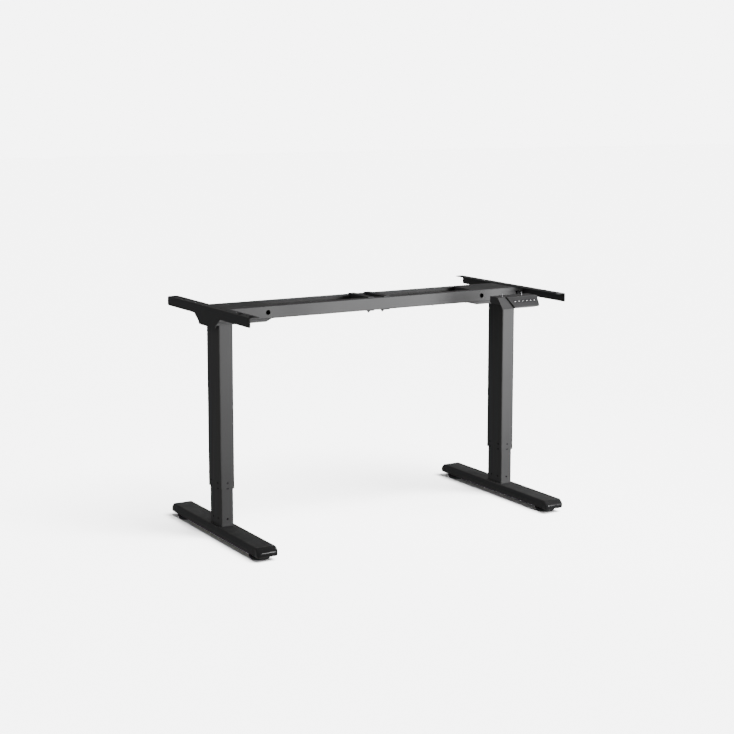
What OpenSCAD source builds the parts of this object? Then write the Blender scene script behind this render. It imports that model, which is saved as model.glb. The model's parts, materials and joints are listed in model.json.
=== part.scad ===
// Height adjustable desk frame: two lifting columns on flat feet, a telescoping cross beam
// with a drive head over each column, a bracket at each end that carries the tabletop,
// a slim control box in the beam and a six button handset.
// Origin on the floor under the middle of the frame, +X to the right, +Y to the rear, +Z up.
// The lowest height and the narrowest width are modelled.

/* [Overall] */
// Distance between the two column axes at the narrowest width
col_spacing = 1080; // [900:10:1400]
// Height of the bracket tops at the lowest setting
frame_h = 742; // [700:1:900]
// How far the columns lift
lift_travel = 400; // [200:10:410]
// How far the beam pulls out
width_travel = 400; // [200:10:420]

/* [Feet] */
// Length of a foot with its end caps
foot_len = 644; // [520:2:760]
// Width of a foot
foot_w = 70; // [64:1:100]
// Height of the foot tube
foot_h = 30; // [26:1:45]
// Wall of the foot tube
foot_wall = 2.5; // [1.5:0.1:4]
// Corner radius of the foot tube
foot_r = 6; // [4:0.5:9]
// Length of an end cap outside the tube
cap_len = 22; // [18:1:30]
// Drop of the cap's sloping top
cap_drop = 12; // [6:1:14]
// Diameter of a levelling foot
level_d = 66; // [40:1:70]
// Height of a levelling foot's disc
level_h = 12; // [8:0.5:20]
// Gap between a levelling foot and the foot tube
level_gap = 2; // [1:0.5:4]
// How far a levelling foot screws out
level_travel = 10; // [4:1:12]
// Thread diameter of a levelling foot
level_stud_d = 8; // [6:1:10]

/* [Columns] */
// Width of the outer tube along the beam
outer_w = 50; // [46:1:70]
// Depth of the outer tube, front to rear
outer_d = 90; // [84:1:110]
// Wall of both column tubes
tube_wall = 1.5; // [1.2:0.1:3]
// Corner radius of the outer tube
outer_r = 5; // [4:0.5:8]
// Space between the two tubes on each side, filled by the glides
tube_gap = 2; // [1.5:0.1:3]
// Inner tube that shows at the lowest height
bare_h = 120; // [60:5:200]
// Height of the lower glide
lower_glide_h = 45; // [30:1:80]
// Height of the upper glide
upper_glide_h = 48; // [30:1:48]
// Running gap between a glide and the tube that slides on it
glide_gap = 0.4; // [0.3:0.05:0.8]
// Diameter of the glide's snap buttons
snap_d = 7; // [5:0.5:10]
// Height of the snap buttons above the mouth of the outer tube
snap_z = 20; // [14:1:26]
// Diameter of the lifting spindle
spindle_d = 14; // [10:1:18]
// Running gap between the spindle and its bores
spindle_gap = 0.05; // [0.03:0.01:0.09]
// Diameter of the spindle nut's barrel
nut_d = 24; // [22:1:28]
// Height of the spindle nut
nut_h = 26; // [18:1:40]
// Space between the inner tube's top and the drive head
top_gap = 18; // [14:1:40]

/* [Beam] */
// Depth of the beam over its two outer rails
beam_d = 144; // [140:1:180]
// Height of the outer rails
rail_h = 40; // [36:1:60]
// Sheet thickness of the rails
rail_wall = 2; // [1.5:0.1:3]
// Outer bend radius of the rails
rail_r = 3; // [2.5:0.1:5]
// Running gap between the inner and the outer rails
rail_gap = 0.5; // [0.3:0.1:1]
// Length of rail that stays nested when the beam is pulled out
rail_overlap = 371.5; // [300:0.5:380]
// Space between the outer rails' left end and the left bracket
rail_end_gap = 5; // [2:1:20]
// Diameter of the round holes in the rails
rail_hole_d = 15.5; // [8:0.5:20]
// Distance of the round holes from the column axes
rail_hole_x = 134; // [90:1:140]
// Width of a clamp bar
clamp_w = 24; // [20:1:40]
// Distance between the two clamp bars
clamp_pitch = 60; // [40:1:90]
// Distance of the clamp pair from the middle of the narrow frame
clamp_x = 3; // [-20:1:20]
// Thickness of a clamp bar
clamp_t = 3; // [2:0.1:3.2]
// Diameter of the clamp bolts
clamp_bolt_d = 6; // [5:1:8]
// Space between the clamps and the outer rails
clamp_gap = 0.2; // [0.1:0.05:0.4]

/* [Drive heads] */
// Reach of a head from the column axis towards the middle
head_in = 164; // [150:1:180]
// Reach of a head from the column axis outwards
head_out = 41.5; // [34:0.5:60]
// Sheet thickness of the head
head_wall = 2; // [1.5:0.1:3]
// Drop of the head below the rails
head_drop = 13; // [10:0.5:24]
// Height of the tray under the head
tray_h = 5.5; // [4:0.5:8]
// Step of the tray's wall outside the head box
tray_step = 1; // [0.5:0.1:2]
// Length of the slope under the head's inner end
head_slope = 25; // [12:1:30]
// Diameter of the motor
motor_d = 37; // [30:1:38]
// Length of the motor
motor_len = 96; // [80:1:100]

/* [Tabletop brackets] */
// Length of a bracket, front to rear
bracket_len = 600; // [480:10:760]
// Sheet thickness of a bracket
bracket_t = 2.5; // [2:0.1:4]
// Width of the flange under the tabletop
flange_w = 35; // [30:1:60]
// Height of the web at the bracket's ends
web_h = 30; // [24:1:38]
// Height of the web at the column
gusset_h = 62; // [50:1:90]
// Width of the deep part of the web at its top
gusset_top = 190; // [160:1:260]
// Width of the deep part of the web at its bottom
gusset_bottom = 118; // [100:1:150]
// Diameter of the rubber pads
pad_d = 16; // [10:1:20]
// Height of the rubber pads above the flange
pad_h = 1.5; // [1:0.1:3]
// Distance of the outer pads from the bracket's ends
pad_end = 22; // [14:1:40]
// Distance between an outer pad and its neighbour
pad_pitch = 73; // [50:1:100]
// Diameter of the tabletop screw holes
top_hole_d = 7; // [5:0.5:9]
// Distance of the end screw holes from the bracket's ends
top_hole_end = 57; // [46:1:64]

/* [Control box] */
// Length of the control box
box_len = 150; // [120:1:155]
// Height of the control box
box_h = 24; // [20:1:28]
// Space between the control box and the right head
box_space = 14; // [8:1:30]
// Space between the control box and the rails
box_side_gap = 2.5; // [1:0.5:6]

/* [Handset] */
// Width of the handset
hand_w = 152; // [144:1:170]
// Distance of the handset's left side from the middle
hand_x = 319; // [300:1:370]
// Depth of the handset's flat top
hand_top_d = 52; // [48:1:60]
// Depth of the whole handset
hand_d = 79; // [76:1:90]
// Height of the handset at the front
hand_h = 36; // [34:1:42]
// Height of the handset's housing behind its front lip
hand_rear_h = 22; // [19:0.5:24]
// Width of the plain block at the left
hand_block_w = 30; // [26:1:34]
// Distance of the handset's front edge from the middle of the frame
hand_front = 322; // [290:1:340]
// Wall of the handset's housing
hand_wall = 2.5; // [2:0.1:3]
// Diameter of a button
button_d = 11; // [8:0.5:12]
// Distance between buttons
button_pitch = 15.4; // [14:0.1:18]
// Gap round a button
button_gap = 0.5; // [0.3:0.1:0.8]
// Button height above the panel
button_out = 1.2; // [1:0.1:2]

/* [Hidden] */

$fn = 64;
e = 0.01; // overlap of a cutting tool past the face it cuts

col_x = col_spacing / 2;

// Feet
foot_z0 = level_h + level_gap;
foot_top = foot_z0 + foot_h;
foot_mid = foot_z0 + foot_h / 2;
foot_tube_len = foot_len - 2 * cap_len;
plug_len = 7;
plug_gap = 0.2;
level_inset = 58; // levelling foot's axis from the end of the foot
level_y = foot_len / 2 - level_inset;
level_bore = level_stud_d + 0.1;
weld_nut_d = 16;
weld_nut_h = 9;
foot_bolt_d = 8;
foot_bolt_head_d = 13;
foot_bolt_head_h = 5;
foot_bolt_dx = 10;
foot_bolt_dy = 26;
foot_bolt_grip = 22; // thread length inside the insert
access_d = 18;
stud_spare = 4;       // thread left in the weld nut when a levelling foot is right out
level_stud_h = min(level_gap + foot_wall + weld_nut_h + level_travel + stud_spare,
    level_gap + foot_h - foot_wall - 2);
bolt_play = 0.4;

// Columns
inner_w = outer_w - 2 * (tube_wall + tube_gap);
inner_d = outer_d - 2 * (tube_wall + tube_gap);
inner_r = outer_r - 1;
outer_z0 = foot_top + bare_h;
insert_h = 36;
insert_gap = 0.1;
glide_wall = tube_gap - glide_gap;
side_hole_outer = 25; // side holes from the middle of the outer tube
side_hole_inner = 18; // side holes from the middle of the inner tube
inner_hole_z = 23;    // holes of the inner tube above the foot
inner_hole_d = 6.5;
notch_w = 9;
notch_h = 4;
snap_inset = 0.4;
nut_plate_t = 6;
nut_flange_t = 5;
nut_flange_d = 36;

// Bends of the brackets
bend_r = 5;
bend_inside = bend_r - bracket_t;

// Heights of the beam and heads
rail_top = frame_h - bracket_t;
rail_bot = rail_top - rail_h;
rail_mid = rail_top - rail_h / 2;
head_bot = rail_bot - head_drop;
head_split = head_bot + tray_h;
head_pitch = 0.43; // rise of the slope under a head's inner end
outer_top = head_bot + head_wall + 8;
inner_top = head_bot - top_gap;
spindle_stop_h = 8;
spindle_bot = inner_top - nut_h - lift_travel - spindle_stop_h - 4;

// Rails: outer C rails open to the middle, inner C rails run inside them
lip_edge_inner = beam_d / 2 - 24;       // lip edge of the inner rails, on the left head
lip_edge_outer = lip_edge_inner + rail_gap; // lip edge of the outer rails, on the right head
inner_rail_y = beam_d / 2 - rail_wall - rail_gap;
inner_rail_h = rail_h - 2 * (rail_wall + rail_gap);
bracket_out = head_out + bracket_t;     // outer face of a bracket from its column axis
outer_rail_x0 = -(col_x + head_out - rail_end_gap);
outer_rail_x1 = col_x + head_out - bend_inside - 0.1;
inner_rail_x0 = -(col_x + head_out);
rail_box_gap = 12; // least space between the inner rails and the control box
inner_rail_end = min(outer_rail_x0 + width_travel + rail_overlap,
    col_x - head_in - box_space - box_len - rail_box_gap);
inner_hole_extra = 4;
end_bolt_x = col_x + 16;
end_bolt_d = 8;

// Drive
drive_z = (outer_top + rail_top - head_wall) / 2 + 0.5;
gear_h = rail_top - head_wall - outer_top - 3;
gear_z0 = outer_top + 1.5;
gear_in = 27;
gear_out = 30;
gear_half = 30;
wheel_d = 29;
wheel_h = 12;
wheel_gap = 0.8;
spindle_top = gear_z0 + gear_h - 5;

// Clamps
clamp_y = beam_d / 2 - 6;
clamp_bolt_y = lip_edge_inner - 5;
clamp_bolt_in = 7; // bolts sit nearer the middle of the pair than the bars do
clamp_plate_t = 2.5;
clamp_skirt = 12;
clamp_skirt_t = 2.5;
clamp_z0 = rail_top + clamp_gap;
clamp_plate_z = rail_bot - clamp_gap - clamp_plate_t;
clamp_nut_af = 10;
clamp_nut_h = 5;
tie_z0 = rail_top - rail_wall - rail_gap - rail_wall;

// Brackets
flange_mid = bracket_out - flange_w / 2;
pad_y = [for (s = [-1, 1], k = [0, 1]) s * (bracket_len / 2 - pad_end - k * pad_pitch)];
pad_stem_d = 6;
top_hole_y = [for (s = [-1, 1], y = [65, 108, bracket_len / 2 - top_hole_end]) s * y];

// Control box
box_x1 = col_x - head_in - box_space;
box_x0 = box_x1 - box_len;
box_half = lip_edge_outer - box_side_gap;
box_z1 = rail_bot + rail_wall + 19;
box_z0 = box_z1 - box_h;
box_wall = 1.5;
lid_t = 1.5;
ear_t = 2;
ear_w = 15;

// Handset
hand_y1 = -hand_front + hand_d;          // rear face
hand_y_top = hand_y1 - hand_top_d;       // front edge of the flat top
panel_drop = hand_h - 5;                 // height of the tilted panel
panel_run = hand_d - hand_top_d;         // how far the panel leans out
panel_tilt = atan2(panel_drop, panel_run);
panel_len = norm([panel_drop, panel_run]);
panel_mid = 0.46;                        // the buttons' line, as a share of the panel from its top
panel_in = 0.6;                          // depth that the panel is let in
panel_slant = 17;                        // sideways lean of the panel's left edge
panel_taper = 6;                         // sideways lean of the panel's right edge
panel_corner = 14;
block_lean = 28;                         // how far the block's front leans out
block_set = 9;                           // top edge of the block behind the panel's
lip_d = 9;                               // depth of the front lip below the housing
lip_lean = 9;
hand_bot = frame_h - hand_h;
hand_floor = frame_h - hand_rear_h;
cover_t = 2;
cover_play = 0.2;
hand_screw_d = 4;
hand_screw_head_d = 8;
hand_screw_head_h = 3;
hand_screw_deep = 9;                     // screw heads below the handset's top
hand_screw_x = [hand_x + 22, hand_x + 100];
hand_screw_y = hand_y_top + 15;
hand_screw_out = 13;
hand_boss_d = 13;
button_x = [for (i = [0:5]) hand_x + hand_block_w + 25 + i * button_pitch];
button_stem = 5;

// ---------------------------------------------------------------- shared shapes

// Rounded rectangle with true arcs
module rrect(w, d, r) {
    square([w - 2 * r, d], center = true);
    square([w, d - 2 * r], center = true);
    for (x = [-1, 1], y = [-1, 1])
        translate([x * (w / 2 - r), y * (d / 2 - r)]) circle(r = r);
}

module ring_shape(w, d, r, w2, d2, r2) {
    difference() {
        rrect(w, d, r);
        rrect(w2, d2, r2);
    }
}

// Extrudes a shape drawn in the YZ plane along X
module along_x(x0, x1) {
    translate([x0, 0, 0]) rotate([90, 0, 90]) linear_extrude(x1 - x0) children();
}

// Extrudes a shape drawn in the XZ plane along Y
module along_y(y0, y1) {
    translate([0, y1, 0]) rotate([90, 0, 0]) linear_extrude(y1 - y0) children();
}

// Side parts are drawn for the right column: x = 0 on its axis, +x outwards
module at_right() {
    translate([col_x, 0, 0]) children();
}

module at_left() {
    mirror([1, 0, 0]) translate([col_x, 0, 0]) children();
}

module bore(d, z0, z1) {
    translate([0, 0, z0 - e]) cylinder(d = d, h = z1 - z0 + 2 * e);
}

// ---------------------------------------------------------------- feet

module foot() {
    color("#33353a") difference() {
        union() {
            translate([0, 0, foot_mid]) along_y(-foot_tube_len / 2, foot_tube_len / 2)
                ring_shape(foot_w, foot_h, foot_r, foot_w - 2 * foot_wall,
                    foot_h - 2 * foot_wall, foot_r - foot_wall);
            for (s = [-1, 1]) translate([0, s * level_y, foot_z0 + foot_wall - e])
                cylinder(d = weld_nut_d, h = weld_nut_h + e);
        }
        for (s = [-1, 1]) translate([0, s * level_y, 0])
            bore(level_bore, foot_z0, foot_z0 + foot_wall + weld_nut_h);
        for (x = [-1, 1], y = [-1, 1]) translate([x * foot_bolt_dx, y * foot_bolt_dy, 0]) {
            bore(access_d, foot_z0, foot_z0 + foot_wall);
            bore(foot_bolt_d + bolt_play, foot_top - foot_wall, foot_top);
        }
    }
}

// Outline of an end cap in the YZ plane, y measured outwards from the tube's end
module cap_profile() {
    polygon([
        [0, 0], [cap_len - 7, 0], [cap_len, 7], [cap_len, foot_h - cap_drop - 3],
        [cap_len - 3, foot_h - cap_drop], [4, foot_h], [0, foot_h],
    ]);
}

module foot_cap() {
    translate([0, foot_tube_len / 2, 0]) {
        intersection() {
            translate([0, 0, foot_mid]) along_y(0, cap_len) rrect(foot_w, foot_h, foot_r);
            translate([0, 0, foot_z0]) along_x(-foot_w / 2, foot_w / 2) cap_profile();
            linear_extrude(foot_top + 1) translate([0, cap_len - 30]) rrect(foot_w, 60, 10);
        }
        translate([0, 0, foot_mid]) along_y(-plug_len, e)
            rrect(foot_w - 2 * foot_wall - 2 * plug_gap, foot_h - 2 * foot_wall - 2 * plug_gap,
                foot_r - foot_wall);
    }
}

module foot_caps() {
    color("#17181a") {
        foot_cap();
        mirror([0, 1, 0]) foot_cap();
    }
}

module level_foot() {
    color("#1b1c1e") {
        rotate_extrude() polygon([
            [0, 0], [level_d / 2 - 5, 0], [level_d / 2 - 1.5, 1.5], [level_d / 2, 4.5],
            [level_d / 2, level_h - 2], [level_d / 2 - 2, level_h], [0, level_h],
        ]);
        translate([0, 0, level_h - e])
            cylinder(d = level_stud_d, h = level_stud_h);
    }
}

module foot_bolts() {
    color("#9a9ca0") for (x = [-1, 1], y = [-1, 1])
        translate([x * foot_bolt_dx, y * foot_bolt_dy, 0]) {
            translate([0, 0, foot_top - foot_wall - foot_bolt_head_h])
                cylinder(d = foot_bolt_head_d, h = foot_bolt_head_h);
            translate([0, 0, foot_top - foot_wall - e])
                cylinder(d = foot_bolt_d, h = foot_wall + foot_bolt_grip);
        }
}

// ---------------------------------------------------------------- columns

module front_and_side_holes(w, d, side, dia, z) {
    translate([0, 0, z]) {
        rotate([90, 0, 0]) cylinder(d = dia, h = d + 2, center = true);
        for (y = [-1, 1]) translate([0, y * side, 0])
            rotate([0, 90, 0]) cylinder(d = dia, h = w + 2, center = true);
    }
}

module front_and_side_slots(w, d, side, slot_w, slot_h, z) {
    translate([0, 0, z + slot_h / 2]) {
        cube([slot_w, d + 2, slot_h], center = true);
        for (y = [-1, 1]) translate([0, y * side, 0])
            cube([w + 2, slot_w, slot_h], center = true);
    }
}

module inner_tube() {
    color("#3b3d42") difference() {
        translate([0, 0, foot_top]) linear_extrude(inner_top - foot_top)
            ring_shape(inner_w, inner_d, inner_r, inner_w - 2 * tube_wall,
                inner_d - 2 * tube_wall, inner_r - tube_wall);
        front_and_side_holes(inner_w, inner_d, side_hole_inner, inner_hole_d,
            foot_top + inner_hole_z);
    }
}

module tube_insert() {
    color("#8d9095") difference() {
        translate([0, 0, foot_top]) linear_extrude(insert_h)
            rrect(inner_w - 2 * tube_wall - 2 * insert_gap,
                inner_d - 2 * tube_wall - 2 * insert_gap, inner_r - tube_wall);
        for (x = [-1, 1], y = [-1, 1]) translate([x * foot_bolt_dx, y * foot_bolt_dy, 0])
            bore(foot_bolt_d + bolt_play / 2, foot_top, foot_top + foot_bolt_grip + 2);
        translate([0, 0, foot_top + inner_hole_z]) rotate([90, 0, 0])
            cylinder(d = inner_hole_d - 1.5, h = inner_d, center = true);
    }
}

module nut_plate() {
    color("#8d9095") difference() {
        translate([0, 0, inner_top - nut_plate_t]) linear_extrude(nut_plate_t)
            rrect(inner_w - 2 * tube_wall - 2 * insert_gap,
                inner_d - 2 * tube_wall - 2 * insert_gap, inner_r - tube_wall);
        bore(nut_d + bolt_play, inner_top - nut_plate_t, inner_top);
        for (y = [-1, 1]) translate([0, y * 28, 0])
            bore(5.5, inner_top - nut_plate_t, inner_top);
    }
}

module spindle_nut() {
    color("#b08d4a") difference() {
        union() {
            translate([0, 0, inner_top - nut_h]) cylinder(d = nut_d, h = nut_h);
            translate([0, 0, inner_top - nut_plate_t - nut_flange_t])
                cylinder(d = nut_flange_d, h = nut_flange_t);
        }
        bore(spindle_d + 2 * spindle_gap, inner_top - nut_h, inner_top);
    }
}

module upper_glide() {
    color("#d9d9d4") translate([0, 0, inner_top - upper_glide_h - 10])
        linear_extrude(upper_glide_h)
            ring_shape(inner_w + 2 * glide_wall, inner_d + 2 * glide_wall,
                inner_r + glide_wall, inner_w, inner_d, inner_r);
}

module outer_tube() {
    color("#3b3d42") difference() {
        translate([0, 0, outer_z0]) linear_extrude(outer_top - outer_z0)
            ring_shape(outer_w, outer_d, outer_r, outer_w - 2 * tube_wall,
                outer_d - 2 * tube_wall, outer_r - tube_wall);
        front_and_side_holes(outer_w, outer_d, side_hole_outer, snap_d + 0.4,
            outer_z0 + snap_z);
        front_and_side_slots(outer_w, outer_d, side_hole_outer, notch_w, notch_h,
            outer_z0 - e);
    }
}

// Plastic sleeve in the mouth of the outer tube, held by snap buttons and tabs
module lower_glide() {
    snap_w = outer_w - 2 * snap_inset;
    snap_l = outer_d - 2 * snap_inset;
    bore_w = inner_w + 2 * glide_gap;
    bore_l = inner_d + 2 * glide_gap;
    color("#101112") difference() {
        union() {
            translate([0, 0, outer_z0]) linear_extrude(lower_glide_h)
                rrect(outer_w - 2 * tube_wall, outer_d - 2 * tube_wall, outer_r - tube_wall);
            intersection() {
                front_and_side_holes(outer_w, outer_d, side_hole_outer, snap_d,
                    outer_z0 + snap_z);
                translate([0, 0, outer_z0 + snap_z])
                    cube([snap_w, snap_l, 2 * snap_d], center = true);
            }
            intersection() {
                front_and_side_slots(outer_w, outer_d, side_hole_outer, notch_w - 0.4,
                    notch_h - 0.2, outer_z0);
                translate([0, 0, outer_z0])
                    cube([snap_w, snap_l, 2 * notch_h], center = true);
            }
        }
        translate([0, 0, outer_z0 - 1]) linear_extrude(lower_glide_h + 2)
            rrect(bore_w, bore_l, inner_r + glide_gap);
    }
}

module spindle() {
    color("#c4c6c9") {
        translate([0, 0, spindle_bot + e]) cylinder(d = spindle_d, h = spindle_top - spindle_bot);
        translate([0, 0, spindle_bot])
            cylinder(d = spindle_d + 6, h = spindle_stop_h);
        difference() {
            translate([0, 0, drive_z - wheel_h / 2]) cylinder(d = wheel_d, h = wheel_h);
            for (i = [0:29]) rotate([0, 0, i * 12]) translate([wheel_d / 2, 0, drive_z])
                rotate([8, 0, 0]) cube([2.4, 1.2, wheel_h + 2], center = true);
        }
    }
}

// ---------------------------------------------------------------- drive heads

// Side outline of a head in the XZ plane, drawn in by an amount
module head_outline(in) {
    rise = head_slope * head_pitch;
    angle = atan(head_pitch);
    corner = bend_inside + 0.1 - in * tan(45 / 2);
    polygon([
        [-head_in + in, rail_top - in], [head_out - in - corner, rail_top - in],
        [head_out - in, rail_top - in - corner], [head_out - in, head_bot + in],
        [-head_in + head_slope + in * tan(angle / 2), head_bot + in],
        [-head_in + in, head_bot + rise + in * (1 - sin(angle)) / cos(angle)],
    ]);
}

module head_shell(half, z0, z1) {
    intersection() {
        difference() {
            along_y(-half, half) head_outline(0);
            along_y(-half + head_wall, half - head_wall) head_outline(head_wall);
        }
        translate([-head_in - 1, -half - 1, z0])
            cube([head_in + head_out + 2, 2 * half + 2, z1 - z0]);
    }
}

// Pressed cover over the gearbox and motor, with a cable hole at its inner end
module head_box(half) {
    color("#37393e") difference() {
        head_shell(half, head_split, rail_top);
        translate([-head_in - 5, 0, rail_mid + 6]) rotate([0, 90, 0])
            cylinder(d = 12, h = 12);
        for (y = [-1, 1]) translate([flange_mid, y * 30, 0])
            bore(5, rail_top - head_wall, rail_top);
    }
}

module head_tray(half) {
    color("#37393e") difference() {
        head_shell(half + tray_step, head_bot, head_split);
        translate([0, 0, head_bot - 1]) linear_extrude(head_wall + 2)
            rrect(outer_w, outer_d, outer_r);
    }
}

module gearbox() {
    bore_d = spindle_d + 2 * spindle_gap;
    color("#6d7076") difference() {
        union() {
            translate([-gear_in, -gear_half, gear_z0])
                cube([gear_in + gear_out, 2 * gear_half, gear_h]);
            translate([0, 0, gear_z0 - 9]) cylinder(d = outer_w - 2 * tube_wall - 6, h = 9 + e);
        }
        bore(bore_d, gear_z0 - 9, spindle_top + 1);
        translate([0, 0, drive_z - wheel_h / 2 - wheel_gap])
            cylinder(d = wheel_d + 2 * wheel_gap, h = wheel_h + 2 * wheel_gap);
    }
}

module motor() {
    color("#4a4c50") {
        translate([-gear_in - motor_len, 0, drive_z]) rotate([0, 90, 0])
            cylinder(d = motor_d, h = motor_len - 3 + e);
        translate([-gear_in - 3, -motor_d / 2, drive_z - motor_d / 2])
            cube([3, motor_d, motor_d]);
        translate([-gear_in - motor_len - 6, 0, drive_z]) rotate([0, 90, 0])
            cylinder(d = motor_d - 12, h = 6 + e);
    }
}

// ---------------------------------------------------------------- beam

// C section in the YZ plane: web at y_out, lips towards y_edge, bend radius r
module c_section(y_out, y_edge, h, t, r) {
    lip = y_out - y_edge;
    difference() {
        translate([y_edge, rail_mid]) rrect(2 * lip, h, r);
        translate([y_edge, rail_mid]) rrect(2 * (lip - t), h - 2 * t, r - t);
        translate([y_edge - 2 * lip, rail_mid - h]) square([2 * lip, 2 * h]);
    }
}

module outer_rail() {
    color("#45474c") difference() {
        along_x(outer_rail_x0, outer_rail_x1)
            c_section(beam_d / 2, lip_edge_outer, rail_h, rail_wall, rail_r);
        for (s = [-1, 1]) translate([s * (col_x - rail_hole_x), beam_d / 2, rail_mid])
            rotate([90, 0, 0]) cylinder(d = rail_hole_d, h = 20, center = true);
        translate([end_bolt_x, beam_d / 2, rail_mid]) rotate([90, 0, 0])
            cylinder(d = end_bolt_d + bolt_play, h = 20, center = true);
    }
}

module inner_rail() {
    color("#3f4146") difference() {
        along_x(inner_rail_x0, inner_rail_end)
            c_section(inner_rail_y, lip_edge_inner, inner_rail_h, rail_wall, rail_r - 0.5);
        translate([-(col_x - rail_hole_x), inner_rail_y, rail_mid]) rotate([90, 0, 0])
            cylinder(d = rail_hole_d + inner_hole_extra, h = 20, center = true);
    }
}

// Puts a child at both clamp bars, and tells it which side of the pair it is on
module at_clamps() {
    for (s = [-1, 1]) translate([clamp_x + s * clamp_pitch / 2, 0, 0]) {
        $clamp_side = s;
        children();
    }
}

module tie_plates() {
    color("#3f4146") at_clamps() difference() {
        translate([-clamp_w / 2 + clamp_skirt_t + 0.5, -lip_edge_inner, tie_z0])
            cube([clamp_w - 2 * clamp_skirt_t - 1, 2 * lip_edge_inner, rail_wall]);
        for (y = [-1, 1]) translate([-$clamp_side * clamp_bolt_in / 2, y * clamp_bolt_y, 0])
            bore(clamp_bolt_d + bolt_play, tie_z0, tie_z0 + rail_wall);
    }
}

// Channel shaped bars that lie across both rails, with skirts down between them
module clamp_bars() {
    color("#2c2d31") at_clamps() difference() {
        union() {
            translate([-clamp_w / 2, -clamp_y, clamp_z0]) cube([clamp_w, 2 * clamp_y, clamp_t]);
            for (s = [-1, 1])
                translate([s * (clamp_w - clamp_skirt_t) / 2 - clamp_skirt_t / 2,
                    -lip_edge_inner + 1, clamp_z0 - clamp_skirt])
                    cube([clamp_skirt_t, 2 * lip_edge_inner - 2, clamp_skirt + e]);
        }
        for (y = [-1, 1])
            translate([-$clamp_side * clamp_bolt_in / 2, y * clamp_bolt_y, clamp_z0 - e]) {
                cylinder(d = clamp_bolt_d + bolt_play, h = clamp_t + 2 * e);
                cylinder(d1 = clamp_bolt_d + bolt_play, d2 = clamp_bolt_d + 6, h = clamp_t + 2 * e);
            }
    }
}

module clamp_plates() {
    color("#2c2d31") at_clamps() for (s = [-1, 1]) difference() {
        translate([-clamp_w / 2, min(s * clamp_y, s * (lip_edge_inner - 10)), clamp_plate_z])
            cube([clamp_w, clamp_y - lip_edge_inner + 10, clamp_plate_t]);
        translate([-$clamp_side * clamp_bolt_in / 2, s * clamp_bolt_y, 0])
            bore(clamp_bolt_d + bolt_play, clamp_plate_z, clamp_plate_z + clamp_plate_t);
    }
}

module clamp_bolts() {
    bolt_bot = clamp_plate_z - clamp_nut_h - 3;
    color("#1d1e20") at_clamps() for (y = [-1, 1])
        translate([-$clamp_side * clamp_bolt_in / 2, y * clamp_bolt_y, 0]) {
            translate([0, 0, bolt_bot]) cylinder(d = clamp_bolt_d, h = clamp_z0 - bolt_bot + e);
            translate([0, 0, clamp_z0])
                cylinder(d1 = clamp_bolt_d, d2 = clamp_bolt_d + 5.4, h = clamp_t - 0.2);
            translate([0, 0, clamp_plate_z - clamp_nut_h])
                cylinder(d = clamp_nut_af / cos(30), h = clamp_nut_h, $fn = 6);
        }
}

// Bolts from the outer rails into the right head, each with a washer and a spacer
module head_bolts_right() {
    spacer = beam_d / 2 - rail_wall - lip_edge_outer;
    color("#a7a9ad") for (s = [0, 1]) mirror([0, s, 0])
        translate([end_bolt_x, beam_d / 2, rail_mid]) rotate([90, 0, 0]) {
            translate([0, 0, -1.6]) cylinder(d = 17, h = 1.6);
            translate([0, 0, -6.6]) cylinder(d = 14, h = 5.01);
            cylinder(d = end_bolt_d, h = beam_d / 2 - lip_edge_outer);
            translate([0, 0, rail_wall]) cylinder(d = 14, h = spacer);
        }
}

// ---------------------------------------------------------------- tabletop brackets

// Side outline of a bracket in the YZ plane
module bracket_outline() {
    z_web = frame_h - web_h;
    z_low = frame_h - gusset_h;
    end_r = 6;
    foot_corner = 9;
    translate([0, frame_h - web_h / 2]) rrect(bracket_len, web_h, end_r);
    translate([-bracket_len / 2, frame_h - end_r - 2]) square([bracket_len, end_r + 2]);
    polygon([
        [-gusset_top / 2, z_web + 1], [-gusset_bottom / 2 - 3.5, z_low + foot_corner],
        [gusset_bottom / 2 + 3.5, z_low + foot_corner], [gusset_top / 2, z_web + 1],
    ]);
    translate([0, z_low + foot_corner + 1])
        rrect(gusset_bottom + 7, 2 * foot_corner + 2, foot_corner);
}

// L section in the XZ plane: flange on top, web outside, bent with a radius
module bracket_section() {
    inner_x = bracket_out - flange_w;
    translate([inner_x, frame_h - bracket_t]) square([flange_w - bend_r, bracket_t]);
    translate([bracket_out - bracket_t, frame_h - gusset_h])
        square([bracket_t, gusset_h - bend_r]);
    translate([bracket_out - bend_r, frame_h - bend_r]) intersection() {
        difference() {
            circle(r = bend_r);
            circle(r = bend_inside);
        }
        square(bend_r);
    }
}

module bracket() {
    color("#2d2f33") difference() {
        intersection() {
            along_y(-bracket_len / 2, bracket_len / 2) bracket_section();
            along_x(bracket_out - flange_w - 1, bracket_out + 1) bracket_outline();
            translate([bracket_out - flange_w / 2 + 10, 0, frame_h - gusset_h])
                linear_extrude(gusset_h) rrect(flange_w + 20, bracket_len, 6);
        }
        for (y = top_hole_y) translate([flange_mid, y, 0])
            bore(top_hole_d, frame_h - bracket_t, frame_h);
        for (y = pad_y) translate([flange_mid, y, 0])
            bore(pad_stem_d + 0.1, frame_h - bracket_t, frame_h);
        for (s = [-1, 1]) translate([flange_mid, s * 30, 0])
            bore(5, frame_h - bracket_t, frame_h);
    }
}

module bracket_pads() {
    color("#0e0f10") for (y = pad_y) translate([flange_mid, y, 0]) {
        translate([0, 0, frame_h]) cylinder(d = pad_d, h = pad_h);
        translate([0, 0, frame_h - bracket_t - 1.5])
            cylinder(d = pad_stem_d, h = bracket_t + 1.5 + e);
        translate([0, 0, frame_h - bracket_t - 1.5]) cylinder(d = pad_stem_d + 2, h = 1.5);
    }
}

// ---------------------------------------------------------------- control box

// Sockets along the box's left end: centre y, width and height
socket_spots = [[-32, 16, 12], [-12, 16, 12], [8, 14, 12], [30, 24, 16]];
socket_deep = 14;

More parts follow.
